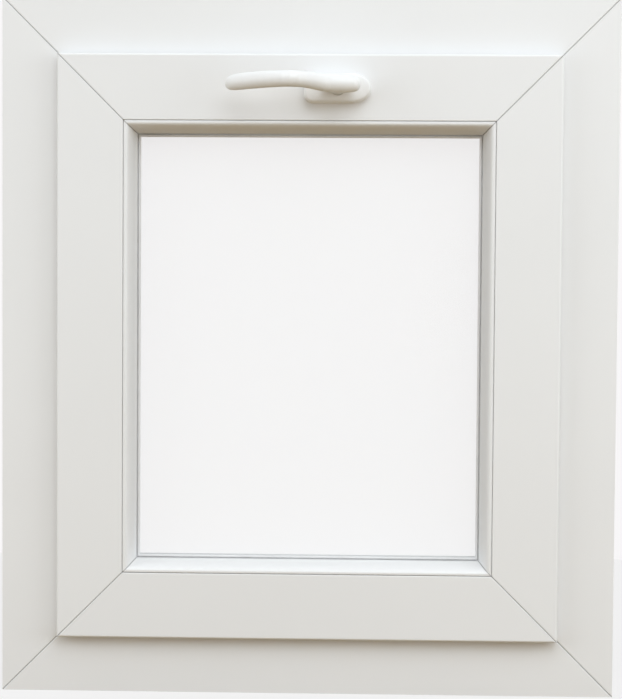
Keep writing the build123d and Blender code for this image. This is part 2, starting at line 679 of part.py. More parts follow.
def handle_cover():
    """Oval cover cap over the base plate and its screws."""
    with BuildPart() as cover:
        with BuildSketch(room_plane(SASH_ROOM)):
            add(rosette_outline(0))
        extrude(amount=ROSETTE_HEIGHT)
        fillet(cover.faces().sort_by(Axis.Y)[0].edges(), ROSETTE_ROUND)
        with BuildSketch(room_plane(SASH_ROOM)):
            add(rosette_outline(COVER_WALL))
        extrude(amount=ROSETTE_HEIGHT - COVER_WALL, mode=Mode.SUBTRACT)
        with BuildSketch(room_plane(SASH_ROOM)):
            Circle(COLLAR_RADIUS + LOOSE + 0.2)
        extrude(amount=ROSETTE_HEIGHT, mode=Mode.SUBTRACT)
    save(cover, "handle_cover")


def handle_screws():
    """Two machine screws from the base plate into the gear case."""
    tip_y = HARDWARE_Y + CASE_DEPTH / 2 - 1
    head_low = SASH_ROOM - BASE_THICKNESS
    with BuildPart() as screws:
        for sign in (-1, 1):
            x = HANDLE_OFFSET + sign * SCREW_SPACING / 2
            rod_along("Y", (x, (head_low + tip_y) / 2, HANDLE_Z), SCREW_RADIUS, tip_y - head_low)
            rod_along("Y", (x, head_low - 1.2, HANDLE_Z), SCREW_HEAD_RADIUS, 2.4)
            rod_along("Y", (x, head_low - 2.0, HANDLE_Z), 1.4, 1.6, Mode.SUBTRACT)
    save(screws, "handle_screws")


LEVER_FOOT_Y = SASH_ROOM - ROSETTE_HEIGHT - LEVER_GAP
SPINDLE_END = LEVER_FOOT_Y - SPINDLE_IN_LEVER


def lever_stations():
    """Centres and sizes of the bar's oval sections: offset from the axis, height above the
    sash face, lift above the axis, depth towards the room and width."""
    wide = LEVER_WIDTH
    return [
        (21.4, 33.6, 0.3, 3.0, 0.26 * wide),
        (20.2, 33.8, 0.3, 8.5, 0.64 * wide),
        (15.5, 34.3, 0.5, 13.5, 0.94 * wide),
        (4.0, 35.2, 0.6, 15.5, 1.03 * wide),
        (-8.0, 37.0, 0.8, 15.5, 1.03 * wide),
        (-17.0, 42.0, 1.3, 15.0, 1.0 * wide),
        (-25.0, 50.0, 1.9, 14.5, 0.97 * wide),
        (-33.0, 57.0, 2.2, 14.0, 0.95 * wide),
        (-44.0, 61.0, 2.2, 14.0, 0.95 * wide),
        (-57.0, 59.5, 2.0, 13.5, 0.96 * wide),
        (-70.0, 54.0, 1.9, 13.5, 0.98 * wide),
        (-84.0, 45.8, 1.7, 13.0, 0.98 * wide),
        (-95.0, 38.8, 1.3, 12.0, 0.96 * wide),
        (-101.5, 34.8, 1.0, 9.0, 0.82 * wide),
        (-104.6, 32.8, 0.9, 5.0, 0.52 * wide),
        (-105.4, 32.3, 0.9, 2.0, 0.22 * wide),
    ]


def handle_lever():
    """Lever: a bar that bows away from the sash, on a neck that turns in the cover."""
    stations = lever_stations()
    neck_height = stations[3][1] - ROSETTE_HEIGHT - LEVER_GAP
    with BuildPart() as lever:
        for index, (offset, rise, lift, depth, width) in enumerate(stations):
            before = stations[max(index - 1, 0)]
            after = stations[min(index + 1, len(stations) - 1)]
            heading = (after[0] - before[0], before[1] - after[1], 0)
            centre = (HANDLE_OFFSET + offset, SASH_ROOM - rise, HANDLE_Z + lift)
            with BuildSketch(Plane(origin=centre, x_dir=(0, 0, 1), z_dir=heading)):
                Ellipse(width / 2, depth / 2)
        loft()
        with BuildSketch(room_plane(LEVER_FOOT_Y)):
            SlotOverall(2 * NECK_REACH, NECK_WIDTH)
        extrude(amount=neck_height)
        collar_low = LEVER_FOOT_Y - LEVER_GAP
        collar_high = SASH_ROOM - 0.5
        rod_along("Y", (HANDLE_OFFSET, (collar_low + collar_high) / 2, HANDLE_Z),
                  COLLAR_RADIUS, collar_high - collar_low)
        side = SPINDLE_SIDE + 2 * SPINDLE_CLEARANCE
        box_between(HANDLE_OFFSET - side / 2, HANDLE_OFFSET + side / 2, SPINDLE_END - 0.5,
                    SASH_ROOM + 1, HANDLE_Z - side / 2, HANDLE_Z + side / 2, Mode.SUBTRACT)
    save(lever, "handle_lever")


def handle_spindle():
    """Square spindle from the lever into the pinion."""
    half = SPINDLE_SIDE / 2
    with BuildPart() as spindle:
        box_between(HANDLE_OFFSET - half, HANDLE_OFFSET + half, SPINDLE_END,
                    HARDWARE_Y + CASE_DEPTH / 2, HANDLE_Z - half, HANDLE_Z + half)
        chamfer(spindle.edges().filter_by(Axis.Y), 0.4)
    save(spindle, "handle_spindle")


# ================================================================ drive gear
def involute_angle(radius, base_radius):
    """Polar angle of an involute at a radius."""
    pressure = math.acos(base_radius / radius)
    return math.tan(pressure) - pressure


def tooth_outline():
    """One pinion tooth pointing along local y, with involute flanks."""
    base_radius = PITCH_RADIUS * math.cos(math.radians(PRESSURE_ANGLE))
    root = PITCH_RADIUS - 1.25 * MODULE
    outer = PITCH_RADIUS + MODULE * 0.95
    half_pitch = math.pi / (2 * PINION_TEETH) - GEAR_BACKLASH / 2 / PITCH_RADIUS
    at_pitch = involute_angle(PITCH_RADIUS, base_radius)
    steps = 5
    start = max(base_radius, root)
    flank = []
    for step in range(steps + 1):
        radius = start + (outer - start) * step / steps
        angle = half_pitch + at_pitch - involute_angle(radius, base_radius)
        flank.append((radius, angle))
    inner = (root - 0.5, flank[0][1])
    right = [inner] + flank
    left = [(radius, -angle) for radius, angle in reversed(right)]
    return [(radius * math.sin(angle), radius * math.cos(angle)) for radius, angle in right + left]


def pinion():
    """Toothed hub with a square bore and two journals."""
    tooth_depth = RACK_WIDTH - 0.6
    with BuildPart() as hub:
        with BuildSketch(room_plane(HARDWARE_Y + tooth_depth / 2)):
            Circle(PITCH_RADIUS - 1.25 * MODULE)
            with PolarLocations(0, PINION_TEETH):
                closed_outline(tooth_outline())
        extrude(amount=tooth_depth)
        with BuildSketch(room_plane(HARDWARE_Y + CASE_DEPTH / 2)):
            Circle(JOURNAL_RADIUS)
        extrude(amount=CASE_DEPTH)
        side = SPINDLE_SIDE + 2 * SPINDLE_CLEARANCE
        with BuildSketch(room_plane(HARDWARE_Y + CASE_DEPTH / 2)):
            Rectangle(side, side)
        extrude(amount=CASE_DEPTH, mode=Mode.SUBTRACT)
    save(hub, "pinion")


def gear_case():
    """Cast case around the pinion, open towards the drive rod."""
    half = CASE_LENGTH / 2
    top = ROD_BOTTOM - LOOSE
    bottom = HANDLE_Z - CASE_BELOW_AXIS
    cavity = PITCH_RADIUS + MODULE + 0.6
    with BuildPart() as case:
        box_between(HANDLE_OFFSET - half, HANDLE_OFFSET + half, HARDWARE_Y - CASE_DEPTH / 2,
                    HARDWARE_Y + CASE_DEPTH / 2, bottom, top)
        fillet(case.edges().filter_by(Axis.Y).group_by(Axis.Z)[0], 6)
        rod_along("Y", (HANDLE_OFFSET, HARDWARE_Y, HANDLE_Z), cavity, RACK_WIDTH + 1, Mode.SUBTRACT)
        rod_along("Y", (HANDLE_OFFSET, HARDWARE_Y, HANDLE_Z), JOURNAL_RADIUS + RUNNING_CLEARANCE,
                  CASE_DEPTH + 2, Mode.SUBTRACT)
        for sign in (-1, 1):
            centre = (HANDLE_OFFSET + sign * SCREW_SPACING / 2, HARDWARE_Y, HANDLE_Z)
            rod_along("Y", centre, SCREW_RADIUS + SCREW_CLEARANCE, CASE_DEPTH + 2, Mode.SUBTRACT)
    save(case, "gear_case")


def faceplate_half_length():
    """Half length of the faceplate along the top of the sash."""
    return WIDTH / 2 - SASH_IN - FACEPLATE_INSET


def faceplate():
    """Steel strip over the drive rod, slotted for the locking cams."""
    half = faceplate_half_length()
    with BuildPart() as strip:
        box_between(-half, half, HARDWARE_Y - FACEPLATE_WIDTH / 2, HARDWARE_Y + FACEPLATE_WIDTH / 2,
                    PLATE_BOTTOM, PLATE_TOP)
        slot_width = 2 * CAM_RADIUS + 0.6
        slot_centre = -ROD_TRAVEL / 2
        with BuildSketch(Plane.XY.offset(PLATE_BOTTOM)):
            for x in (-CAM_X, CAM_X):
                with Locations((x + slot_centre, HARDWARE_Y)):
                    SlotOverall(ROD_TRAVEL + slot_width, slot_width)
            for x in faceplate_screw_places():
                with Locations((x, HARDWARE_Y)):
                    Circle(SMALL_HOLE_RADIUS)
        extrude(amount=FACEPLATE_THICKNESS, mode=Mode.SUBTRACT)
    save(strip, "drive_faceplate")


def faceplate_screw_places():
    """X of the screws that hold the faceplate to the sash."""
    half = faceplate_half_length()
    return (-half + 8, half - 8)


def faceplate_screws():
    """Two screws through the ends of the faceplate."""
    with BuildPart() as screws:
        for x in faceplate_screw_places():
            rod_along("Z", (x, HARDWARE_Y, PLATE_TOP - 10), SMALL_SCREW_RADIUS, 20)
            rod_along("Z", (x, HARDWARE_Y, PLATE_TOP + 0.5), 3.6, 1.0)
    save(screws, "faceplate_screws")


def rack_gaps():
    """Centres, along X, of the rack's tooth gaps."""
    pitch = math.pi * MODULE
    reach = int(ROD_TRAVEL / pitch) + 3
    return [HANDLE_OFFSET + step * pitch for step in range(-3, reach + 1)]


def drive_rod():
    """Flat rod that slides under the faceplate; the pinion's teeth run in its windows."""
    half = WIDTH / 2 - SASH_IN - ROD_END_INSET
    tan_flank = math.tan(math.radians(PRESSURE_ANGLE))
    half_gap = math.pi * MODULE / 4
    wide = half_gap + tan_flank * MODULE
    narrow = half_gap - tan_flank * 1.25 * MODULE
    with BuildPart() as rod:
        box_between(-half + ROD_TRAVEL / 2, half, HARDWARE_Y - ROD_WIDTH / 2,
                    HARDWARE_Y + ROD_WIDTH / 2, ROD_BOTTOM, ROD_TOP)
        with BuildSketch(Plane.XZ.offset(-HARDWARE_Y - RACK_WIDTH / 2)):
            for x in rack_gaps():
                closed_outline([(x - wide, ROD_BOTTOM), (x + wide, ROD_BOTTOM),
                                (x + narrow, ROD_TOP), (x - narrow, ROD_TOP)])
        extrude(amount=RACK_WIDTH, mode=Mode.SUBTRACT)
    save(rod, "drive_rod")


def locking_cams():
    """Mushroom studs on the drive rod that run under the keeps."""
    with BuildPart() as cams:
        for x in (-CAM_X, CAM_X):
            stem = CAM_TOP - ROD_TOP
            rod_along("Z", (x, HARDWARE_Y, ROD_TOP + stem / 2), CAM_RADIUS, stem)
            rod_along("Z", (x, HARDWARE_Y, CAM_TOP - 0.9), CAM_HEAD_RADIUS, 1.8)
        fillet(cams.edges().filter_by(GeomType.CIRCLE).group_by(Axis.Z)[-1], 0.5)
    save(cams, "locking_cams")


def keeps():
    """Catches under the head: a stop wall outdoors and a short locking lip towards the room."""
    with BuildPart() as pair:
        for x in (-CAM_X, CAM_X):
            low = x - ROD_TRAVEL - 10
            high = low + KEEP_LENGTH
            box_between(low, high, HARDWARE_Y - 9, HARDWARE_Y + 9, HEAD_REBATE - KEEP_BASE, HEAD_REBATE)
            box_between(low, high, HARDWARE_Y + 6.2, HARDWARE_Y + 9, KEEP_BOTTOM, HEAD_REBATE)
            box_between(x + CAM_HEAD_RADIUS + KEEP_LIP_GAP, high, HARDWARE_Y - 9, HARDWARE_Y - 5.6,
                        KEEP_BOTTOM, HEAD_REBATE)
        with BuildSketch(Plane.XY.offset(HEAD_REBATE)):
            for x in (-CAM_X, CAM_X):
                for place in keep_screw_places(x):
                    with Locations((place, HARDWARE_Y)):
                        Circle(SMALL_HOLE_RADIUS)
        extrude(amount=-KEEP_BASE, mode=Mode.SUBTRACT)
    save(pair, "keeps")


def keep_screw_places(cam_x):
    """X of the two screws in a keep."""
    low = cam_x - ROD_TRAVEL - 10
    return (low + 5, low + KEEP_LENGTH - 5)


def keep_screws():
    """Screws that hold the keeps to the head."""
    head_low = HEAD_REBATE - KEEP_BASE - 0.8
    with BuildPart() as screws:
        for cam_x in (-CAM_X, CAM_X):
            for x in keep_screw_places(cam_x):
                rod_along("Z", (x, HARDWARE_Y, HEAD_REBATE + 4), SMALL_SCREW_RADIUS, 2 * (4 + KEEP_BASE))
                rod_along("Z", (x, HARDWARE_Y, head_low + 0.4), SMALL_HEAD_RADIUS, 0.8)
    save(screws, "keep_screws")


# ================================================================ bottom hinges
def hinge_centre(sign):
    """Middle of a hinge along X."""
    return sign * (WIDTH / 2 - SASH_IN - HINGE_INSET - HINGE_LENGTH / 2)


def frame_knuckles(centre):
    """X limits of the two knuckles on the frame bracket."""
    third = HINGE_LENGTH / 3
    low = centre - HINGE_LENGTH / 2
    return ((low, low + third - KNUCKLE_GAP), (low + 2 * third + KNUCKLE_GAP, low + HINGE_LENGTH))


def sash_knuckle(centre):
    """X limits of the knuckle on the sash bracket."""
    third = HINGE_LENGTH / 3
    low = centre - HINGE_LENGTH / 2
    return (low + third, low + 2 * third)


def knuckle(x_low, x_high, plate_z, pin_clearance):
    """Round knuckle with its leg down or up to the plate."""
    middle = ((x_low + x_high) / 2, HARDWARE_Y, PIVOT_Z)
    length = x_high - x_low
    rod_along("X", middle, KNUCKLE_RADIUS, length)
    low = min(plate_z, PIVOT_Z)
    high = max(plate_z, PIVOT_Z)
    box_between(x_low, x_high, HARDWARE_Y - 3.2, HARDWARE_Y + 3.2, low, high)
    rod_along("X", middle, HINGE_PIN_RADIUS + pin_clearance, length + 2, Mode.SUBTRACT)


def hinge_screw_places(centre):
    """X of the two screws in a hinge bracket."""
    return (centre - HINGE_LENGTH / 2 - 10, centre + HINGE_LENGTH / 2 + 10)


def hinges():
    """Bottom hinge on each side: frame bracket, sash bracket and pin."""
    sash_plate_low = SEAT_IN - HINGE_PLATE
    for name, sign in (("left", -1), ("right", 1)):
        centre = hinge_centre(sign)
        half = HINGE_LENGTH / 2 + 18
        with BuildPart() as lower:
            box_between(centre - half, centre + half, HARDWARE_Y - 7, HARDWARE_Y + 9,
                        REBATE_IN, REBATE_IN + HINGE_PLATE)
            for x_low, x_high in frame_knuckles(centre):
                knuckle(x_low, x_high, REBATE_IN, 0.0)
            x_low, x_high = sash_knuckle(centre)
            rod_along("X", (centre, HARDWARE_Y, PIVOT_Z), KNUCKLE_RADIUS + LOOSE,
                      x_high - x_low + 2 * KNUCKLE_GAP, Mode.SUBTRACT)
            for x in hinge_screw_places(centre):
                rod_along("Z", (x, HARDWARE_Y + 1, REBATE_IN), SMALL_HOLE_RADIUS,
                          3 * HINGE_PLATE, Mode.SUBTRACT)
        save(lower, f"hinge_frame_bracket_{name}")
        with BuildPart() as upper:
            box_between(centre - half, centre + half, HARDWARE_Y - 6, HARDWARE_Y + 8,
                        sash_plate_low, SEAT_IN)
            knuckle(x_low, x_high, SEAT_IN, RUNNING_CLEARANCE)
            for knuckle_low, knuckle_high in frame_knuckles(centre):
                middle = ((knuckle_low + knuckle_high) / 2, HARDWARE_Y, PIVOT_Z)
                rod_along("X", middle, KNUCKLE_RADIUS + LOOSE,
                          knuckle_high - knuckle_low + 2 * KNUCKLE_GAP - 0.02, Mode.SUBTRACT)
            for x in hinge_screw_places(centre):
                rod_along("Z", (x, HARDWARE_Y + 1, SEAT_IN), SMALL_HOLE_RADIUS,
                          3 * HINGE_PLATE, Mode.SUBTRACT)
        save(upper, f"hinge_sash_bracket_{name}")
        with BuildPart() as pin:
            rod_along("X", (centre, HARDWARE_Y, PIVOT_Z), HINGE_PIN_RADIUS, HINGE_LENGTH + 3)
            chamfer(pin.edges().filter_by(GeomType.CIRCLE), 0.5)
        save(pin, f"hinge_pin_{name}")


def hinge_screws():
    """Screws of the hinge brackets, those in the frame and those in the sash."""
    with BuildPart() as lower:
        for sign in (-1, 1):
            for x in hinge_screw_places(hinge_centre(sign)):
                rod_along("Z", (x, HARDWARE_Y + 1, REBATE_IN - 4), SMALL_SCREW_RADIUS,
                          2 * (4 + HINGE_PLATE))
                rod_along("Z", (x, HARDWARE_Y + 1, REBATE_IN + HINGE_PLATE + 0.4), SMALL_HEAD_RADIUS, 0.8)
    save(lower, "hinge_screws_frame")
    with BuildPart() as upper:
        for sign in (-1, 1):
            for x in hinge_screw_places(hinge_centre(sign)):
                rod_along("Z", (x, HARDWARE_Y + 1, SEAT_IN + 4), SMALL_SCREW_RADIUS,
                          2 * (4 + HINGE_PLATE))
                rod_along("Z", (x, HARDWARE_Y + 1, SEAT_IN - HINGE_PLATE - 0.4), SMALL_HEAD_RADIUS, 0.8)
    save(upper, "hinge_screws_sash")


# ================================================================ stay arms
def stay_levels():
    """Distances in, from the jamb towards the sash, of the stay's layers."""
    plate = REBATE_IN + STAY_PLATE
    arm = plate + 1.2
    arm_end = arm + STAY_THICKNESS
    track = SEAT_IN - TRACK_THICKNESS
    return plate, arm, arm_end, track


def side_x(sign, in_value):
    """X of a distance in, on the left or the right side."""
    return sign * (WIDTH / 2 - in_value)


def side_box(sign, in_low, in_high, y_low, y_high, z_low, z_high, mode=Mode.ADD):
    """Box on the left or right side, given by its distances in."""
    ends = sorted((side_x(sign, in_low), side_x(sign, in_high)))
    box_between(ends[0], ends[1], y_low, y_high, z_low, z_high, mode)


def side_rod(sign, in_low, in_high, z, radius, mode=Mode.ADD):
    """Cylinder along X between two distances in, on the hardware line."""
    middle = side_x(sign, (in_low + in_high) / 2)
    rod_along("X", (middle, HARDWARE_Y, z), radius, in_high - in_low, mode)


def stays():
    """Stay on each side: pivot plate on the jamb, arm, and slotted track on the sash."""
    plate, arm, arm_end, track = stay_levels()
    for name, sign in (("left", -1), ("right", 1)):
        with BuildPart() as pivot:
            side_box(sign, REBATE_IN, plate, HARDWARE_Y - 7, HARDWARE_Y + 7,
                     STAY_PIVOT_Z - STAY_PLATE_LENGTH / 2, STAY_PIVOT_Z + STAY_PLATE_LENGTH / 2)
            side_rod(sign, REBATE_IN, arm_end + 1.6, STAY_PIVOT_Z, STAY_PIN_RADIUS)
            side_rod(sign, arm_end + 0.4, arm_end + 1.6, STAY_PIVOT_Z, STAY_PIN_RADIUS + 1.6)
            side_rod(sign, REBATE_IN, arm - 0.4, STAY_PIVOT_Z, STAY_PIN_RADIUS + 2.0)
            for z in stay_screw_places():
                side_rod(sign, REBATE_IN - 1, plate + 1, z, SMALL_HOLE_RADIUS, Mode.SUBTRACT)
        save(pivot, f"stay_pivot_plate_{name}")
        with BuildPart() as bar:
            half = STAY_WIDTH / 2
            side_box(sign, arm, arm_end, HARDWARE_Y - half, HARDWARE_Y + half,
                     STAY_PIVOT_Z, STAY_END_Z)
            for z in (STAY_PIVOT_Z, STAY_END_Z):
                side_rod(sign, arm, arm_end, z, half)
            side_rod(sign, arm, arm_end, STAY_PIVOT_Z, STAY_PIN_RADIUS + RUNNING_CLEARANCE,
                     Mode.SUBTRACT)
            side_rod(sign, arm, SEAT_IN + 1.0, STAY_END_Z, STAY_PIN_RADIUS)
            side_rod(sign, arm, track - 0.4, STAY_END_Z, STAY_PIN_RADIUS + 1.4)
        save(bar, f"stay_arm_{name}")
        with BuildPart() as rail:
            low = STAY_END_Z - STAY_SLIDE - TRACK_LENGTH / 2 + 6
            side_box(sign, track, SEAT_IN, HARDWARE_Y - TRACK_WIDTH / 2, HARDWARE_Y + TRACK_WIDTH / 2,
                     low, low + TRACK_LENGTH)
            slot = STAY_PIN_RADIUS + SLOT_CLEARANCE
            side_box(sign, track, SEAT_IN, HARDWARE_Y - slot, HARDWARE_Y + slot,
                     STAY_END_Z - STAY_SLIDE - 0.5, STAY_END_Z + 0.5, Mode.SUBTRACT)
            for z in (STAY_END_Z - STAY_SLIDE - 0.5, STAY_END_Z + 0.5):
                side_rod(sign, track, SEAT_IN, z, slot, Mode.SUBTRACT)
            for z in track_screw_places():
                side_rod(sign, track - 1, SEAT_IN + 1, z, SMALL_HOLE_RADIUS, Mode.SUBTRACT)
        save(rail, f"stay_track_{name}")


def stay_screw_places():
    """Z of the two screws in a pivot plate."""
    return (STAY_PIVOT_Z - STAY_PLATE_LENGTH / 2 + 7, STAY_PIVOT_Z + STAY_PLATE_LENGTH / 2 - 7)


def track_screw_places():
    """Z of the two screws in a track."""
    low = STAY_END_Z - STAY_SLIDE - TRACK_LENGTH / 2 + 6
    return (low + 7, low + TRACK_LENGTH - 7)


def stay_screws():
    """Screws of the pivot plates and of the tracks."""
    plate, arm, arm_end, track = stay_levels()
    with BuildPart() as lower:
        for sign in (-1, 1):
            for z in stay_screw_places():
                side_rod(sign, REBATE_IN - 8, plate, z, SMALL_SCREW_RADIUS)
                side_rod(sign, plate, plate + 0.8, z, SMALL_HEAD_RADIUS)
    save(lower, "stay_screws_frame")
    with BuildPart() as upper:
        for sign in (-1, 1):
            for z in track_screw_places():
                side_rod(sign, track, SASH_IN + 8, z, SMALL_SCREW_RADIUS)
                side_rod(sign, track - 0.8, track, z, SMALL_HEAD_RADIUS)
    save(upper, "stay_screws_sash")


# ================================================================ build everything
for member_side in SIDES:
    frame_member(member_side)
frame_reinforcement()
frame_gasket()
drainage_caps()
for member_side in SIDES:
    sash_member(member_side)
sash_reinforcement()
sash_gasket()
sash_gasket_bottom()
glass_panes()
glass_edge()
glazing_gaskets()
setting_blocks()
glazing_beads()
handle_base()
handle_cover()
handle_screws()
handle_lever()
handle_spindle()
pinion()
gear_case()
faceplate()
faceplate_screws()
drive_rod()
locking_cams()
keeps()
keep_screws()
hinges()
hinge_screws()
stays()
stay_screws()
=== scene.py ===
"""White plastic tilting window: finishes and fine pieces around the fixed frame of CAD parts.

Metres. X runs to the right seen from the room, Y points outdoors, Z points up.
"""

import json
import math

import bmesh
import bpy
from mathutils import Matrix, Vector

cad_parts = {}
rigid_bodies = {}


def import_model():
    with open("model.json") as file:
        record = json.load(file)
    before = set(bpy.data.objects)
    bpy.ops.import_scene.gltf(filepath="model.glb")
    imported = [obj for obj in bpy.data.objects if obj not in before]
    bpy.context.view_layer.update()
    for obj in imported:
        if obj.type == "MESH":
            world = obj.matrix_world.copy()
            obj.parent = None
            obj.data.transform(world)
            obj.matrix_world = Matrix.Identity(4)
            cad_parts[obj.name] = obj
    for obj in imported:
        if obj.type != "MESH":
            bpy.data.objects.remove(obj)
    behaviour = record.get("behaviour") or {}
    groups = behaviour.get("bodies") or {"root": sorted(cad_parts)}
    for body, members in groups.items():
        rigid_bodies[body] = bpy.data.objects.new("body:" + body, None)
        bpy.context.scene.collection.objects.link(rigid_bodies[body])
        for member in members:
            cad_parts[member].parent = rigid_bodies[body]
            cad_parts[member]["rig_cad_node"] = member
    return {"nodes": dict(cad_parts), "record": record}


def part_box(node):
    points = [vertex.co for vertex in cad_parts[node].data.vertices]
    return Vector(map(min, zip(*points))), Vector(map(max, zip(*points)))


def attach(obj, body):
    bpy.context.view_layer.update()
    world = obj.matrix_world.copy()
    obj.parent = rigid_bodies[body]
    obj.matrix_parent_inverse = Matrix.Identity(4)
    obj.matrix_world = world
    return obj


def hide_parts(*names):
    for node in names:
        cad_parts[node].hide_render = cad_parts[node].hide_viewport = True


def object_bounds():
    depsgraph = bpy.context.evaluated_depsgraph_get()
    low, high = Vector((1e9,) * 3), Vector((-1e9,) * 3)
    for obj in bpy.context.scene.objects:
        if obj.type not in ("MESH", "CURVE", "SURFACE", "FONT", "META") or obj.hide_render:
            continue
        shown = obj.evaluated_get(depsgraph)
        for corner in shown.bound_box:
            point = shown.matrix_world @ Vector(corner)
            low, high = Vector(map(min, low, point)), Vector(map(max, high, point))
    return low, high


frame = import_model()
cad_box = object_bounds()

bl_info = {
    "name": "Tilting Window Maker",
    "version": (1, 0, 0),
    "blender": (4, 5, 0),
    "location": "View3D > Sidebar > Window",
    "description": "Finishes a plastic tilting window and builds its handle, seals and small fittings",
    "category": "Object",
}

MM = 0.001
# width of the painted shade line that darkens the mitre weld grooves
SEAM_SHADE_WIDTH = 0.9 * MM
MERGE_DISTANCE = 0.001 * MM
SPACER_WIDTH = 4.0
SENSOR_WIDTH = 36
WINDOW_MIDDLE = (cad_box[0] + cad_box[1]) / 2
WINDOW_MIDDLE.y = 0.0
HALF_WIDTH = cad_box[1].x
HALF_HEIGHT = cad_box[1].z / 2
HANDLE_AXIS = sum(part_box("handle_base"), Vector()) / 2
SASH_FACE_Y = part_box("sash_top_rail")[0].y


# ---------------------------------------------------------------- settings
class WindowFinish(bpy.types.PropertyGroup):
    """Colours of the window's visible materials."""
    plastic: bpy.props.FloatVectorProperty(
        name="Plastic", description="Colour of the frame, sash and beads",
        subtype="COLOR", size=4, min=0, max=1, default=(0.84, 0.84, 0.835, 1))
    handle: bpy.props.FloatVectorProperty(
        name="Handle", description="Colour of the powder coated handle",
        subtype="COLOR", size=4, min=0, max=1, default=(0.86, 0.86, 0.85, 1))
    seal: bpy.props.FloatVectorProperty(
        name="Seals", description="Colour of the rubber seals",
        subtype="COLOR", size=4, min=0, max=1, default=(0.80, 0.80, 0.80, 1))


class WindowShape(bpy.types.PropertyGroup):
    """Sizes of the fine pieces."""
    lever_width: bpy.props.FloatProperty(
        name="Lever width", description="Height of the lever's bar on the sash face",
        subtype="DISTANCE", default=16.0 * MM, min=8.0 * MM, max=24.0 * MM)
    rosette_length: bpy.props.FloatProperty(
        name="Rosette length", description="Length of the cover under the lever",
        subtype="DISTANCE", default=65.0 * MM, min=50.0 * MM, max=90.0 * MM)
    rosette_width: bpy.props.FloatProperty(
        name="Rosette width", description="Width of the cover under the lever",
        subtype="DISTANCE", default=28.5 * MM, min=26.0 * MM, max=40.0 * MM)
    rosette_round: bpy.props.FloatProperty(
        name="Rosette edge", description="Radius along the cover's front edge",
        subtype="DISTANCE", default=3.0 * MM, min=0.5 * MM, max=6.0 * MM)
    seal_lip: bpy.props.FloatProperty(
        name="Seal lip", description="How far the glass seal shows past the bead's nose",
        subtype="DISTANCE", default=3.3 * MM, min=2.2 * MM, max=5.0 * MM)
    edge_round: bpy.props.FloatProperty(
        name="Hardware edges", description="Width of the rounded edges of the metal fittings",
        subtype="DISTANCE", default=0.3 * MM, min=0.1 * MM, max=0.6 * MM)
    thread_pitch: bpy.props.FloatProperty(
        name="Thread pitch", description="Distance between the screws' thread ridges",
        subtype="DISTANCE", default=1.3 * MM, min=0.7 * MM, max=3.0 * MM)


class WindowStage(bpy.types.PropertyGroup):
    """Camera place and lights."""
    camera_place: bpy.props.FloatVectorProperty(
        name="Camera place", description="Where the camera stands",
        subtype="TRANSLATION", unit="LENGTH", size=3, default=(0.0430, -1.6776, 0.4033))
    camera_turn: bpy.props.FloatVectorProperty(
        name="Camera turn", description="Pitch, roll and turn of the camera",
        subtype="EULER", unit="ROTATION", size=3,
        default=(math.radians(87.75), math.radians(-0.405), math.radians(1.42)))
    camera_lens: bpy.props.FloatProperty(
        name="Lens", description="Focal length for a 36 mm sensor",
        subtype="DISTANCE_CAMERA", default=86.75, min=20, max=300)
    backdrop: bpy.props.FloatVectorProperty(
        name="Backdrop", description="Colour seen behind the window",
        subtype="COLOR", size=4, min=0, max=1, default=(0.945, 0.930, 0.938, 1))
    key_power: bpy.props.FloatProperty(
        name="Key light", description="Power of the main light above and to the right",
        subtype="POWER", default=27.0, min=0, max=500)


# ---------------------------------------------------------------- node helpers
def new_material(name):
    """Node material with its Principled shader and Object coordinates."""
    material = bpy.data.materials.new(name)
    material.use_nodes = True
    nodes = material.node_tree.nodes
    shader = nodes["Principled BSDF"]
    coordinates = nodes.new("ShaderNodeTexCoord")
    return material, shader, coordinates.outputs["Object"]


def add_noise(material, place, scale, detail=2.0, stretch=(1, 1, 1)):
    """Noise texture on Object coordinates, stretched along the axes."""
    nodes = material.node_tree.nodes
    links = material.node_tree.links
    mapping = nodes.new("ShaderNodeMapping")
    mapping.inputs["Scale"].default_value = stretch
    noise = nodes.new("ShaderNodeTexNoise")
    noise.inputs["Scale"].default_value = scale
    noise.inputs["Detail"].default_value = detail
    links.new(place, mapping.inputs["Vector"])
    links.new(mapping.outputs["Vector"], noise.inputs["Vector"])
    return noise.outputs["Fac"]


def spread(material, value, low, high):
    """Maps a 0 to 1 texture value to a range."""
    node = material.node_tree.nodes.new("ShaderNodeMapRange")
    node.inputs["From Min"].default_value = 0.25
    node.inputs["From Max"].default_value = 0.75
    node.inputs["To Min"].default_value = low
    node.inputs["To Max"].default_value = high
    material.node_tree.links.new(value, node.inputs["Value"])
    return node.outputs["Result"]


def two_tone(material, value, first, second):
    """Colour that runs from one tone to another with a texture value."""
    ramp = material.node_tree.nodes.new("ShaderNodeValToRGB")
    ramp.color_ramp.elements[0].position = 0.3
    ramp.color_ramp.elements[0].color = first
    ramp.color_ramp.elements[1].position = 0.7
    ramp.color_ramp.elements[1].color = second
    material.node_tree.links.new(value, ramp.inputs["Fac"])
    return ramp.outputs["Color"]


def add_bump(material, shader, heights):
    """Chain of bumps: each entry is a height, its strength and its distance."""
    normal = None
    for height, strength, distance in heights:
        bump = material.node_tree.nodes.new("ShaderNodeBump")
        bump.inputs["Strength"].default_value = strength
        bump.inputs["Distance"].default_value = distance
        material.node_tree.links.new(height, bump.inputs["Height"])
        if normal is not None:
            material.node_tree.links.new(normal, bump.inputs["Normal"])
        normal = bump.outputs["Normal"]
    material.node_tree.links.new(normal, shader.inputs["Normal"])


def maths(material, operation, first, second=0.0):
    """Math node between two values or sockets."""
    node = material.node_tree.nodes.new("ShaderNodeMath")
    node.operation = operation
    for socket, value in zip(node.inputs, (first, second)):
        if isinstance(value, float):
            socket.default_value = value
        else:
            material.node_tree.links.new(value, socket)
    return node.outputs["Value"]


def shade(colour, factor):
    """The same colour made lighter or darker."""
    return (colour[0] * factor, colour[1] * factor, colour[2] * factor, 1)


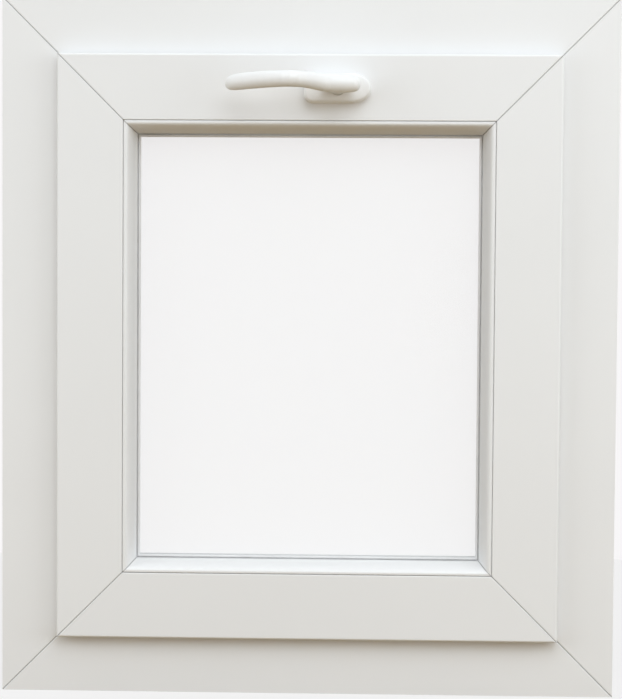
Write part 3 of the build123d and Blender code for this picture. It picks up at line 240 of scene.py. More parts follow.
# ---------------------------------------------------------------- finishes
def mitre_seam_shade(material, place):
    """Painted shade mask for the mitre weld grooves: one away from the corner seams, falling to zero
    on the diagonals where members meet.
    """
    axes = material.node_tree.nodes.new("ShaderNodeSeparateXYZ")
    material.node_tree.links.new(place, axes.inputs["Vector"])
    side = maths(material, "ABSOLUTE", axes.outputs["X"])
    level = maths(material, "SUBTRACT", axes.outputs["Z"], HALF_HEIGHT)
    level = maths(material, "ABSOLUTE", level)
    lean = maths(material, "SUBTRACT", level, side)
    off_seam = maths(material, "SUBTRACT", lean, HALF_HEIGHT - HALF_WIDTH)
    off_seam = maths(material, "ABSOLUTE", off_seam)
    line = material.node_tree.nodes.new("ShaderNodeMapRange")
    line.inputs["From Min"].default_value = SEAM_SHADE_WIDTH / 2
    line.inputs["From Max"].default_value = SEAM_SHADE_WIDTH
    material.node_tree.links.new(off_seam, line.inputs["Value"])
    return line.outputs["Result"]


def extruded_plastic(name, colour, stretch):
    """Satin white plastic with fine die lines along the extrusion and painted shade along the corner
    seams.
    """
    material, shader, place = new_material(name)
    links = material.node_tree.links
    cloud = add_noise(material, place, 7.0, 3.0)
    tone = two_tone(material, cloud, shade(colour, 0.985), colour)
    # painted shade: the weld grooves on the mitre diagonals are darkened to 0.62 of the plastic colour
    seam_shade = material.node_tree.nodes.new("ShaderNodeMix")
    seam_shade.data_type = "RGBA"
    seam_shade.inputs["A"].default_value = shade(colour, 0.62)
    links.new(mitre_seam_shade(material, place), seam_shade.inputs["Factor"])
    links.new(tone, seam_shade.inputs["B"])
    links.new(seam_shade.outputs["Result"], shader.inputs["Base Color"])
    wear = add_noise(material, place, 60.0, 4.0)
    links.new(spread(material, wear, 0.30, 0.42), shader.inputs["Roughness"])
    die_lines = add_noise(material, place, 900.0, 1.0, stretch)
    skin = add_noise(material, place, 1400.0, 2.0)
    add_bump(material, shader, [(die_lines, 0.05, 0.0002), (skin, 0.06, 0.0001)])
    shader.inputs["IOR"].default_value = 1.53
    return material


def powder_coat(name, colour):
    """White powder coat with a faint orange peel."""
    material, shader, place = new_material(name)
    links = material.node_tree.links
    cloud = add_noise(material, place, 18.0, 2.0)
    links.new(two_tone(material, cloud, shade(colour, 0.98), colour), shader.inputs["Base Color"])
    wear = add_noise(material, place, 140.0, 3.0)
    links.new(spread(material, wear, 0.36, 0.48), shader.inputs["Roughness"])
    peel = add_noise(material, place, 750.0, 1.5)
    add_bump(material, shader, [(peel, 0.08, 0.00015)])
    shader.inputs["Coat Weight"].default_value = 0.12
    shader.inputs["Coat Roughness"].default_value = 0.3
    return material


def rubber(name, colour):
    """Matt extruded rubber with a fine grain."""
    material, shader, place = new_material(name)
    links = material.node_tree.links
    cloud = add_noise(material, place, 35.0, 3.0)
    links.new(two_tone(material, cloud, shade(colour, 0.9), colour), shader.inputs["Base Color"])
    wear = add_noise(material, place, 180.0, 3.0)
    links.new(spread(material, wear, 0.5, 0.68), shader.inputs["Roughness"])
    grain = add_noise(material, place, 1600.0, 2.0)
    add_bump(material, shader, [(grain, 0.15, 0.0001)])
    return material


def metal(name, colour, roughness, stretch=(1, 1, 1), spangled=False):
    """Metal with uneven roughness, rolling marks and, for galvanised steel, spangle."""
    material, shader, place = new_material(name)
    links = material.node_tree.links
    if spangled:
        cells = material.node_tree.nodes.new("ShaderNodeTexVoronoi")
        cells.inputs["Scale"].default_value = 160.0
        links.new(place, cells.inputs["Vector"])
        tone = two_tone(material, cells.outputs["Color"], shade(colour, 0.8), colour)
    else:
        cloud = add_noise(material, place, 45.0, 4.0)
        tone = two_tone(material, cloud, shade(colour, 0.86), colour)
    links.new(tone, shader.inputs["Base Color"])
    shader.inputs["Metallic"].default_value = 1.0
    wear = add_noise(material, place, 120.0, 4.0)
    links.new(spread(material, wear, roughness * 0.75, roughness * 1.3), shader.inputs["Roughness"])
    marks = add_noise(material, place, 420.0, 2.0, stretch)
    add_bump(material, shader, [(marks, 0.12, 0.0001)])
    return material


def clear_glass(name):
    """Clear float glass: nearly all see-through, with sharp reflections."""
    material, shader, place = new_material(name)
    links = material.node_tree.links
    shader.inputs["Base Color"].default_value = (0.90, 0.96, 0.94, 1)
    shader.inputs["Alpha"].default_value = 0.05
    shader.inputs["IOR"].default_value = 1.52
    film = add_noise(material, place, 9.0, 4.0)
    links.new(spread(material, film, 0.01, 0.05), shader.inputs["Roughness"])
    waves = add_noise(material, place, 4.0, 1.0)
    add_bump(material, shader, [(waves, 0.02, 0.001)])
    return material


def spacer_bar_finish(name):
    """Bright aluminium with the two rows of tiny holes that let the drying beads breathe, coloured
    near black as painted shade inside the holes.
    """
    material, shader, place = new_material(name)
    nodes = material.node_tree.nodes
    links = material.node_tree.links
    cells = nodes.new("ShaderNodeTexVoronoi")
    cells.inputs["Scale"].default_value = 420.0
    cells.inputs["Randomness"].default_value = 0.0
    links.new(place, cells.inputs["Vector"])
    holes = nodes.new("ShaderNodeMapRange")
    holes.inputs["From Min"].default_value = 0.16
    holes.inputs["From Max"].default_value = 0.24
    links.new(cells.outputs["Distance"], holes.inputs["Value"])
    # painted shade: the holes take a near black colour for the shade inside them
    tone = two_tone(material, holes.outputs["Result"], (0.08, 0.08, 0.08, 1), (0.74, 0.75, 0.76, 1))
    links.new(tone, shader.inputs["Base Color"])
    shader.inputs["Metallic"].default_value = 1.0
    wear = add_noise(material, place, 90.0, 3.0)
    links.new(spread(material, wear, 0.28, 0.42), shader.inputs["Roughness"])
    add_bump(material, shader, [(holes.outputs["Result"], 0.4, 0.0002)])
    return material


def make_finishes(finish):
    """Every material of the window, by short name."""
    level = (1, 90, 90)
    upright = (90, 90, 1)
    colour = tuple(finish.plastic)
    return {
        "rail": extruded_plastic("white_plastic_rails", colour, level),
        "stile": extruded_plastic("white_plastic_stiles", colour, upright),
        "handle": powder_coat("white_powder_coat", tuple(finish.handle)),
        "seal": rubber("grey_seal_rubber", tuple(finish.seal)),
        "sealant": rubber("black_edge_sealant", (0.02, 0.02, 0.02, 1)),
        "block": rubber("blue_block_plastic", (0.08, 0.19, 0.42, 1)),
        "zinc": metal("zinc_plated_steel", (0.66, 0.66, 0.64, 1), 0.32, level),
        "galvanised": metal("galvanised_steel", (0.60, 0.61, 0.62, 1), 0.42, spangled=True),
        "cast": metal("cast_zinc", (0.48, 0.48, 0.48, 1), 0.5),
        "screw": metal("bright_screw_steel", (0.76, 0.75, 0.73, 1), 0.24),
        "glass": clear_glass("clear_float_glass"),
        "spacer": spacer_bar_finish("perforated_spacer_aluminium"),
    }


FINISH_OF_NODE = {
    "frame_sill": "rail", "frame_head": "rail", "frame_jamb_left": "stile",
    "frame_jamb_right": "stile", "sash_top_rail": "rail", "sash_bottom_rail": "rail",
    "sash_stile_left": "stile", "sash_stile_right": "stile",
    "glazing_bead_top": "rail", "glazing_bead_bottom": "rail",
    "glazing_bead_left": "stile", "glazing_bead_right": "stile",
    "drainage_caps": "rail", "frame_reinforcement": "galvanised",
    "sash_reinforcement": "galvanised", "glass_inner": "glass", "glass_outer": "glass",
    "glass_spacer": "spacer", "glass_edge_seal": "sealant", "setting_blocks": "block",
    "handle_cover": "handle", "handle_lever": "handle", "handle_base": "cast",
    "gear_case": "cast", "keeps": "cast",
}


def finish_of(node):
    """Which finish a CAD node takes."""
    if node in FINISH_OF_NODE:
        return FINISH_OF_NODE[node]
    if "gasket" in node:
        return "seal"
    if "screws" in node:
        return "screw"
    return "zinc"


FINISHES = {}


class WINDOW_OT_finishes(bpy.types.Operator):
    """Give every CAD node its finish."""
    bl_idname = "window.finishes"
    bl_label = "Finishes"

    def execute(self, context):
        FINISHES.update(make_finishes(context.scene.window_finish))
        for node, thing in frame["nodes"].items():
            thing.data.materials.clear()
            thing.data.materials.append(FINISHES[finish_of(node)])
        return {"FINISHED"}


# ---------------------------------------------------------------- modelling helpers
AXIS_TURN = {"X": (0, math.pi / 2, 0), "Y": (math.pi / 2, 0, 0), "Z": (0, 0, 0)}


def start_piece(name):
    """New empty mesh at the origin, open for modelling."""
    bpy.ops.object.select_all(action="DESELECT")
    bpy.ops.object.add(type="MESH", location=(0, 0, 0))
    piece = bpy.context.object
    piece.name = name
    bpy.ops.object.mode_set(mode="EDIT")
    return piece


def select_only(*things):
    """Select these objects and nothing else; the first is the active one."""
    bpy.ops.object.select_all(action="DESELECT")
    for thing in things:
        thing.select_set(True)
    bpy.context.view_layer.objects.active = things[0]


def add_ring(centre, sizes, axis, count, swing=0.0):
    """Oval loop of points square to an axis, then swung about the vertical."""
    bpy.ops.mesh.primitive_circle_add(vertices=count, radius=0.5, location=centre,
                                      rotation=AXIS_TURN[axis])
    bpy.ops.transform.resize(value=sizes, center_override=centre)
    if swing:
        bpy.ops.transform.rotate(value=-swing, orient_axis="Z", center_override=centre)


def select_rings(piece, rings, count):
    """Select the edges of the loops with these numbers."""
    bpy.ops.mesh.select_all(action="DESELECT")
    shape = bmesh.from_edit_mesh(piece.data)
    for edge in shape.edges:
        first, second = (corner.index // count for corner in edge.verts)
        if first == second and first in rings:
            edge.select_set(True)
    bmesh.update_edit_mesh(piece.data)


def skin_rings(piece, first, last, count, closed=False):
    """Bridge the loops one after another, then cap the two ends or join them."""
    for ring in range(first, last):
        select_rings(piece, (ring, ring + 1), count)
        bpy.ops.mesh.bridge_edge_loops()
    if closed:
        select_rings(piece, (first, last), count)
        bpy.ops.mesh.bridge_edge_loops()
        return
    for ring in (first, last):
        select_rings(piece, (ring,), count)
        bpy.ops.mesh.edge_face_add()


def face_outwards():
    """Merge doubled points, turn all faces outwards and leave edit mode."""
    bpy.ops.mesh.select_all(action="SELECT")
    bpy.ops.mesh.remove_doubles(threshold=MERGE_DISTANCE)
    bpy.ops.mesh.normals_make_consistent(inside=False)
    bpy.ops.object.mode_set(mode="OBJECT")


def apply_modifier(piece, kind, **settings):
    """Add a modifier, set it and apply it."""
    select_only(piece)
    modifier = piece.modifiers.new(kind.lower(), kind)
    for name, value in settings.items():
        setattr(modifier, name, value)
    bpy.ops.object.modifier_apply(modifier=modifier.name)


def cut_with(piece, cutters):
    """Take the cutters' shapes out of a piece and remove the cutters."""
    for cutter in cutters:
        apply_modifier(piece, "BOOLEAN", object=cutter, operation="DIFFERENCE", solver="EXACT")
        bpy.data.objects.remove(cutter)


def add_block(low, high):
    """Plain block between two corners, used as a cutter or a start."""
    low = Vector(low)
    high = Vector(high)
    bpy.ops.object.select_all(action="DESELECT")
    bpy.ops.mesh.primitive_cube_add(size=1, location=(low + high) / 2)
    block = bpy.context.object
    block.scale = high - low
    bpy.ops.object.transform_apply(location=True, rotation=True, scale=True)
    return block


def record_row(node):
    """Body and material slot that the record gives a node."""
    bodies = frame["record"]["behaviour"]["bodies"]
    body = next(name for name, nodes in bodies.items() if node in nodes)
    slots = {part["node"]: part["material_slot"] for part in frame["record"]["subparts"]}
    return body, slots[node]


def finish_piece(piece, node, angle=35):
    """Smooth shading, finish and body of a piece that stands for a CAD node; its material slot is read
    from the record but not set.
    """
    body, slot = record_row(node)
    select_only(piece)
    bpy.ops.object.shade_smooth_by_angle(angle=math.radians(angle))
    piece.data.materials.clear()
    piece.data.materials.append(FINISHES[finish_of(node)])
    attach(piece, body)
    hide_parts(node)


# ---------------------------------------------------------------- handle
# Sizes in millimetres. Stations of the lever's bar: offset from the spindle, rise off the sash,
# lift, depth, and share of the lever's width.
LEVER_BAR = (
    (21.4, 33.6, 0.3, 3.0, 0.26), (21.0, 33.7, 0.3, 5.6, 0.45), (20.2, 33.8, 0.3, 8.5, 0.64),
    (18.4, 34.0, 0.4, 11.6, 0.83), (15.5, 34.3, 0.5, 13.5, 0.94), (10.0, 34.6, 0.55, 14.8, 1.00),
    (4.0, 35.2, 0.6, 15.5, 1.03), (-2.0, 35.9, 0.7, 15.6, 1.03), (-8.0, 37.2, 0.8, 15.5, 1.03),
    (-13.0, 39.4, 1.0, 15.3, 1.02), (-17.0, 42.2, 1.3, 15.0, 1.00), (-21.0, 45.9, 1.6, 14.8, 0.98),
    (-25.0, 50.0, 1.9, 14.5, 0.97), (-29.0, 53.8, 2.1, 14.2, 0.96), (-33.0, 56.9, 2.2, 14.0, 0.95),
    (-38.0, 59.6, 2.2, 14.0, 0.95), (-44.0, 61.0, 2.2, 14.0, 0.95), (-50.5, 60.8, 2.1, 13.7, 0.95),
    (-57.0, 59.4, 2.0, 13.5, 0.96), (-63.5, 57.1, 1.95, 13.5, 0.97), (-70.0, 54.1, 1.9, 13.5, 0.98),
    (-77.0, 50.2, 1.8, 13.2, 0.98), (-84.0, 45.9, 1.7, 13.0, 0.98), (-90.0, 41.9, 1.5, 12.6, 0.97),
    (-95.0, 38.7, 1.3, 12.0, 0.96), (-98.8, 36.4, 1.1, 10.8, 0.91), (-101.5, 34.8, 1.0, 9.0, 0.82),
    (-103.4, 33.6, 0.9, 7.0, 0.68), (-104.6, 32.8, 0.9, 5.0, 0.52), (-105.4, 32.3, 0.9, 2.0, 0.22),
)
# Rings of the neck that joins the bar to its collar: rise, length and height.
NECK = ((11.4, 30.0, 12.0), (12.4, 30.0, 12.4), (24.0, 30.0, 12.4), (29.0, 30.4, 13.2),
        (34.0, 31.6, 14.2))
# Rings of the round collar in the rosette: rise and width across.
COLLAR = ((0.5, 14.2), (0.9, 14.8), (10.4, 14.8), (11.2, 12.4), (13.5, 12.0))
LEVER_POINTS = 32
LEVER_VOXEL = 0.55 * MM
ROSETTE_FRONT = 11.0
ROSETTE_CROWN = 0.3
ROSETTE_FOOT = 0.35
ROSETTE_WALL = 1.8
ROSETTE_HOLE = 7.6
ROSETTE_CORNER = 9.0
ROSETTE_NOSE = 20.0
ROSETTE_POINTS = 48
ROSETTE_TURN = (math.pi / 2, math.pi / ROSETTE_POINTS, 0)


class WINDOW_OT_lever(bpy.types.Operator):
    """Model the bowed handle lever with its neck, collar and square bore."""
    bl_idname = "window.lever"
    bl_label = "Handle lever"

    def execute(self, context):
        wide = context.scene.window_shape.lever_width
        piece = start_piece("lever_bar")
        count = LEVER_POINTS
        for index, (offset, rise, lift, depth, width) in enumerate(LEVER_BAR):
            before = LEVER_BAR[max(index - 1, 0)]
            after = LEVER_BAR[min(index + 1, len(LEVER_BAR) - 1)]
            heading = math.atan2(before[1] - after[1], after[0] - before[0])
            centre = (HANDLE_AXIS.x + offset * MM, SASH_FACE_Y - rise * MM,
                      HANDLE_AXIS.z + lift * MM)
            add_ring(centre, (1, depth * MM, width * wide), "X", count, heading)
        skin_rings(piece, 0, len(LEVER_BAR) - 1, count)
        first = len(LEVER_BAR)
        for rise, length, height in NECK:
            centre = (HANDLE_AXIS.x, SASH_FACE_Y - rise * MM, HANDLE_AXIS.z)
            add_ring(centre, (length * MM, 1, height * MM), "Y", count)
        skin_rings(piece, first, first + len(NECK) - 1, count)
        first += len(NECK)
        for rise, across in COLLAR:
            centre = (HANDLE_AXIS.x, SASH_FACE_Y - rise * MM, HANDLE_AXIS.z)
            add_ring(centre, (across * MM, 1, across * MM), "Y", count)
        skin_rings(piece, first, first + len(COLLAR) - 1, count)
        face_outwards()
        apply_modifier(piece, "REMESH", mode="VOXEL", voxel_size=LEVER_VOXEL)
        apply_modifier(piece, "SMOOTH", factor=0.5, iterations=8)
        low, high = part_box("handle_spindle")
        gap = Vector((0.1, 0.5, 0.1)) * MM
        cut_with(piece, [add_block(low - gap, high + gap)])
        finish_piece(piece, "handle_lever")
        return {"FINISHED"}


class WINDOW_OT_rosette(bpy.types.Operator):
    """Model the cover under the lever: round corners at the left, an oval nose at the right,
    crowned in front and hollow behind."""
    bl_idname = "window.rosette"
    bl_label = "Handle cover"

    def execute(self, context):
        shape = context.scene.window_shape
        half = shape.rosette_width / 2 / MM
        edge = shape.rosette_round / MM
        rim = ROSETTE_FRONT - ROSETTE_CROWN
        loops = [(0.0, 0.0), (0.0, 0.7), (ROSETTE_FOOT, 1.1)]
        for degrees in range(0, 91, 15):
            turn = math.radians(degrees)
            loops.append((ROSETTE_FOOT + edge * (1 - math.cos(turn)),
                          rim - edge + edge * math.sin(turn)))
        loops.append((ROSETTE_FOOT + edge + 2.5, rim + 0.18))
        piece = start_piece("handle_rosette")
        for inset, rise in loops:
            self.add_outline(piece, shape, half, inset, rise)
        inside = ROSETTE_FRONT - ROSETTE_WALL
        for radius, rise in ((ROSETTE_HOLE + 1.7, ROSETTE_FRONT - 0.02),
                             (ROSETTE_HOLE + 0.2, ROSETTE_FRONT),
                             (ROSETTE_HOLE, ROSETTE_FRONT - 0.2),
                             (ROSETTE_HOLE, inside + 0.1), (ROSETTE_HOLE + 1.7, inside)):
            centre = (HANDLE_AXIS.x, SASH_FACE_Y - rise * MM, HANDLE_AXIS.z)
            bpy.ops.mesh.primitive_circle_add(vertices=ROSETTE_POINTS, radius=radius * MM,
                                              location=centre, rotation=ROSETTE_TURN)
        self.add_outline(piece, shape, half, ROSETTE_WALL, inside - 0.1)
        self.add_outline(piece, shape, half, ROSETTE_WALL, 0.05)
        skin_rings(piece, 0, len(loops) + 6, ROSETTE_POINTS, closed=True)
        face_outwards()
        finish_piece(piece, "handle_cover", angle=40)
        return {"FINISHED"}

    def add_outline(self, piece, shape, half, inset, rise):
        """One loop of the cover: a circle whose left quarters become round corners and whose
        right half becomes the oval nose."""
        centre = Vector((HANDLE_AXIS.x, SASH_FACE_Y - rise * MM, HANDLE_AXIS.z))
        across = (half - inset) * MM
        bpy.ops.mesh.primitive_circle_add(vertices=ROSETTE_POINTS, radius=across,
                                          location=centre, rotation=ROSETTE_TURN)
        reach = shape.rosette_length / 2
        corner = (ROSETTE_CORNER - inset) * MM
        nose = (ROSETTE_NOSE - inset) * MM
        self.select_quarter(piece, centre, 1, 0)
        bpy.ops.transform.resize(value=(nose / across, 1, 1), center_override=centre)
        bpy.ops.transform.translate(value=(reach - ROSETTE_NOSE * MM, 0, 0))
        for side in (-1, 1):
            self.select_quarter(piece, centre, -1, side)
            share = corner / across
            bpy.ops.transform.resize(value=(share, 1, share), center_override=centre)
            bpy.ops.transform.translate(value=(ROSETTE_CORNER * MM - reach, 0,
                                               side * (across - corner)))

    def select_quarter(self, piece, centre, across, up):
        """Select the newest loop's points on one side of its middle, or in one quarter of it."""
        bpy.ops.mesh.select_all(action="DESELECT")
        shape = bmesh.from_edit_mesh(piece.data)
        shape.verts.ensure_lookup_table()
        for corner in shape.verts[-ROSETTE_POINTS:]:
            offset = corner.co - centre
            if offset.x * across > 0 and (up == 0 or offset.z * up > 0):
                corner.select_set(True)
        bmesh.update_edit_mesh(piece.data)


# ---------------------------------------------------------------- seals and spacer
def sweep_ring(name, outline):
    """Rectangular ring round the window: the outline's points are a distance in from the
    window's outer edge and a depth, in millimetres."""
    piece = start_piece(name)
    middle = WINDOW_MIDDLE.copy()
    middle.y = outline[0][1] * MM
    half = Vector((HALF_WIDTH - outline[0][0] * MM, 0, HALF_HEIGHT - outline[0][0] * MM))
    bpy.ops.mesh.primitive_plane_add(size=2, location=middle, rotation=AXIS_TURN["Y"])
    bpy.ops.transform.resize(value=(half.x, 1, half.z), center_override=middle)
    bpy.ops.mesh.delete(type="ONLY_FACE")
    bpy.ops.mesh.select_all(action="SELECT")
    for before, after in zip(outline, outline[1:]):
        advance = (after[1] - before[1]) * MM
        inward = (after[0] - before[0]) * MM
        bpy.ops.mesh.extrude_edges_move(TRANSFORM_OT_translate={"value": (0, advance, 0)})
        middle.y = after[1] * MM
        bpy.ops.transform.resize(value=(1 - inward / half.x, 1, 1 - inward / half.z),
                                 center_override=middle)
        half -= Vector((inward, 0, inward))
    bpy.ops.mesh.select_all(action="DESELECT")
    bpy.ops.mesh.select_non_manifold()
    bpy.ops.mesh.bridge_edge_loops()
    return piece


def keep_above(height, clear_below=True):
    """Cut the open piece level at a height and keep one side, closed with flat ends."""
    bpy.ops.mesh.select_all(action="SELECT")
    bpy.ops.mesh.bisect(plane_co=(0, 0, height), plane_no=(0, 0, 1), use_fill=True,
                        clear_inner=clear_below, clear_outer=not clear_below)


def box_in(node):
    """A ring node's distance in from the window's edge, near and far depth, in millimetres."""
    low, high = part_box(node)
    return (HALF_WIDTH - high.x) / MM, low.y / MM, high.y / MM


class WINDOW_OT_seals(bpy.types.Operator):
    """Model the rubber seals of the glass, the sash and the frame."""
    bl_idname = "window.seals"
    bl_label = "Seals"

    def execute(self, context):
        lip = context.scene.window_shape.seal_lip / MM
        nose = (HALF_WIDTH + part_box("glazing_bead_left")[1].x) / MM
        edge, near, far = box_in("glazing_gasket_inner")
        sweep_ring("glass_seal_room_side", (
            (edge + 1, near + 0.1), (nose - 0.2, near + 0.2), (nose + 0.25, near + 1.7),
            (nose + 0.95, near + 1.7), (nose + 1.25, near - 0.1), (nose + 1.6, near - 0.6),
            (nose + 0.8 * lip, near - 0.6), (nose + 0.95 * lip, near), (nose + lip, near + 1.0),
            (nose + lip - 0.1, near + 2.2), (nose + lip - 0.5, far), (edge + 1, far)))
        face_outwards()
        finish_piece(bpy.context.object, "glazing_gasket_inner", angle=50)
        sight = (HALF_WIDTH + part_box("sash_stile_left")[1].x) / MM
        edge, near, far = box_in("glazing_gasket_outer")
        sweep_ring("glass_seal_outdoor_side", (
            (edge + 1, near), (sight + 0.3, near), (sight + 0.9, near + 0.8),
            (sight + 1.0, near + 2.2), (sight + 0.8, near + 3.6), (sight + 0.6, far + 0.3),
            (sight + 0.1, far + 0.3), (sight - 0.1, far), (edge + 1, far)))
        face_outwards()
        finish_piece(bpy.context.object, "glazing_gasket_outer", angle=50)
        edge, near, far = box_in("frame_gasket")
        sweep_ring("frame_seal", (
            (edge, far), (edge, far - 0.9), (edge + 0.6, far - 1.8), (edge + 1.7, near + 0.2),
            (edge + 2.8, near), (edge + 3.9, near + 0.2), (edge + 4.9, far - 1.8),
            (edge + 5.5, far - 0.9), (edge + 5.5, far)))
        face_outwards()
        finish_piece(bpy.context.object, "frame_gasket", angle=50)
        edge, near, far = box_in("sash_gasket")
        sweep_ring("sash_seal", (
            (edge + 0.4, near), (edge, near + 0.9), (edge + 0.2, near + 2.1),
            (edge + 1.2, far - 0.2), (edge + 2.3, far), (edge + 3.5, far - 0.3),
            (edge + 4.3, near + 1.9), (edge + 4.5, near + 0.9), (edge + 4.2, near)))
        keep_above(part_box("sash_gasket")[0].z)
        face_outwards()
        finish_piece(bpy.context.object, "sash_gasket", angle=50)
        edge, near, far = box_in("sash_gasket_bottom")
        sweep_ring("sash_seal_bottom", (
            (edge + 0.2, near), (edge, near + 0.4), (edge + 0.5, far - 0.15), (edge + 1.5, far),
            (edge + 2.4, far - 0.1), (edge + 3.1, near + 0.5), (edge + 3.2, near)))
        keep_above(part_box("sash_gasket_bottom")[1].z, clear_below=False)
        face_outwards()
        finish_piece(bpy.context.object, "sash_gasket_bottom", angle=50)
        return {"FINISHED"}


class WINDOW_OT_spacer(bpy.types.Operator):
    """Model the spacer bar between the panes, with its rounded inner edges."""
    bl_idname = "window.spacer"
    bl_label = "Glass spacer"

    def execute(self, context):
        edge, near, far = box_in("glass_spacer")
        inner = edge + SPACER_WIDTH
        sweep_ring("glass_spacer_bar", (
            (edge, near + 0.6), (edge + 0.6, near), (inner - 0.9, near), (inner - 0.3, near + 0.2),
            (inner, near + 0.8), (inner, near + 2.4), (inner - 0.35, near + 2.8),
            (inner - 0.35, far - 2.8), (inner, far - 2.4), (inner, far - 0.8),
            (inner - 0.3, far - 0.2), (inner - 0.9, far), (edge + 0.6, far), (edge, far - 0.6)))
        face_outwards()
        finish_piece(bpy.context.object, "glass_spacer", angle=30)
        return {"FINISHED"}


# ---------------------------------------------------------------- screws
# CAD node, piece name, head height, shank radius and head radius in millimetres.
SCREW_GROUPS = (
    ("handle_screws", "cover_plate_screws", 2.4, 2.45, 4.4),
    ("faceplate_screws", "drive_plate_screws", 1.0, 2.0, 3.6),
    ("keep_screws", "strike_screws", 0.8, 2.0, 3.4),
    ("hinge_screws_frame", "lower_hinge_screws", 0.8, 2.0, 3.4),
    ("hinge_screws_sash", "upper_hinge_screws", 0.8, 2.0, 3.4),
    ("stay_screws_frame", "stay_plate_screws", 0.8, 2.0, 3.4),
    ("stay_screws_sash", "stay_track_screws", 0.8, 2.0, 3.4),
)
SCREW_POINTS = 20


def loose_boxes(node):
    """Lowest and highest corners of each separate solid in a CAD node."""
    shape = bmesh.new()
    shape.from_mesh(frame["nodes"][node].data)
    bmesh.ops.remove_doubles(shape, verts=shape.verts, dist=MERGE_DISTANCE)
    left = set(shape.verts)
    boxes = []
    while left:
        island = [left.pop()]
        for corner in island:
            for edge in corner.link_edges:
                other = edge.other_vert(corner)
                if other in left:
                    left.remove(other)
                    island.append(other)
        places = [corner.co for corner in island]
        boxes.append((Vector([min(place[axis] for place in places) for axis in range(3)]),
                      Vector([max(place[axis] for place in places) for axis in range(3)])))
    shape.free()
    return sorted(boxes, key=lambda box: tuple(box[0]))


def screw_seat(node, low, high, head):
    """Place under a screw's head and the turn that points its head there from upright."""
    place = (low + high) / 2
    if node == "handle_screws":
        place.y = low.y + head
        return place, (math.pi / 2, 0, 0)
    if node in ("faceplate_screws", "hinge_screws_frame"):
        place.z = high.z - head
        return place, (0, 0, 0)
    if node in ("keep_screws", "hinge_screws_sash"):
        place.z = low.z + head
        return place, (math.pi, 0, 0)
    towards_middle = node == "stay_screws_frame"
    side = 1 if place.x > 0 else -1
    points_right = (side < 0) == towards_middle
    place.x = high.x - head if points_right else low.x + head
    return place, (0, math.pi / 2 if points_right else -math.pi / 2, 0)


def model_screw(pitch, length, head, shank, head_radius):
    """One upright screw under the origin: ringed shank, domed head and crossed recess."""
    rings = [(-length, 0.3 * shank), (-length + 0.6 * shank, 0.75 * shank)]
    depth = -length + shank
    while depth < -pitch:
        rings += [(depth, 0.84 * shank), (depth + 0.35 * pitch, shank),
                  (depth + 0.55 * pitch, shank)]
        depth += pitch
    rings += [(-0.2 * MM, shank), (0.08 * MM, shank), (0, head_radius), (0.35 * head, head_radius),
              (0.7 * head, 0.9 * head_radius), (0.92 * head, 0.66 * head_radius),
              (head, 0.34 * head_radius)]
    piece = start_piece("screw_pattern")
    for height, radius in rings:
        add_ring((0, 0, height), (2 * radius, 2 * radius, 1), "Z", SCREW_POINTS)
    skin_rings(piece, 0, len(rings) - 1, SCREW_POINTS)
    face_outwards()
    reach = 0.58 * head_radius
    slot = 0.13 * head_radius
    floor = 0.25 * head
    top = head + 1 * MM
    cut_with(piece, [add_block((-reach, -slot, floor), (reach, slot, top)),
                     add_block((-slot, -reach, floor), (slot, reach, top))])
    return piece


class WINDOW_OT_screws(bpy.types.Operator):
    """Model one screw for each group and copy it to its places."""
    bl_idname = "window.screws"
    bl_label = "Screws"

    def execute(self, context):
        pitch = context.scene.window_shape.thread_pitch
        for node, name, head, shank, head_radius in SCREW_GROUPS:
            boxes = loose_boxes(node)
            length = max(boxes[0][1] - boxes[0][0]) - head * MM
            pattern = model_screw(pitch, length, head * MM, shank * MM, head_radius * MM)
            copies = []
            for low, high in boxes:
                select_only(pattern)
                bpy.ops.object.duplicate()
                copy = bpy.context.object
                copy.location, copy.rotation_euler = screw_seat(node, low, high, head * MM)
                bpy.ops.object.transform_apply(location=True, rotation=True, scale=True)
                copies.append(copy)
            bpy.data.objects.remove(pattern)
            select_only(*copies)
            bpy.ops.object.join()
            copies[0].name = name
            finish_piece(copies[0], node)
        return {"FINISHED"}


# ---------------------------------------------------------------- metal fittings
FITTINGS = {
    "drive_faceplate": "drive_plate", "drive_rod": "drive_bar", "locking_cams": "mushroom_cams",
    "keeps": "strikers", "hinge_frame_bracket_left": "lower_hinge_leaf_left",
    "hinge_frame_bracket_right": "lower_hinge_leaf_right",
    "hinge_sash_bracket_left": "upper_hinge_leaf_left",
    "hinge_sash_bracket_right": "upper_hinge_leaf_right",
    "hinge_pin_left": "hinge_bolt_left", "hinge_pin_right": "hinge_bolt_right",
    "stay_arm_left": "tilt_stay_left", "stay_arm_right": "tilt_stay_right",
    "stay_track_left": "slide_track_left", "stay_track_right": "slide_track_right",
    "stay_pivot_plate_left": "stay_plate_left", "stay_pivot_plate_right": "stay_plate_right",
    "handle_base": "handle_mount_plate", "handle_spindle": "square_spindle",
    "setting_blocks": "glass_blocks",
}


class WINDOW_OT_fittings(bpy.types.Operator):
    """Round the edges of copies of the metal fittings and the glass blocks."""
    bl_idname = "window.fittings"
    bl_label = "Metal fittings"

    def execute(self, context):
        width = context.scene.window_shape.edge_round
        for node, name in FITTINGS.items():
            select_only(frame["nodes"][node])
            bpy.ops.object.duplicate()
            piece = bpy.context.object
            piece.name = name
            del piece["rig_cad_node"]
            bpy.ops.object.mode_set(mode="EDIT")
            bpy.ops.mesh.select_all(action="SELECT")
            bpy.ops.mesh.remove_doubles(threshold=MERGE_DISTANCE)
            bpy.ops.mesh.dissolve_limited(angle_limit=math.radians(1))
            bpy.ops.object.mode_set(mode="OBJECT")
            apply_modifier(piece, "BEVEL", width=width, segments=2, limit_method="ANGLE",
                           angle_limit=math.radians(40))
            finish_piece(piece, node, angle=40)
        return {"FINISHED"}


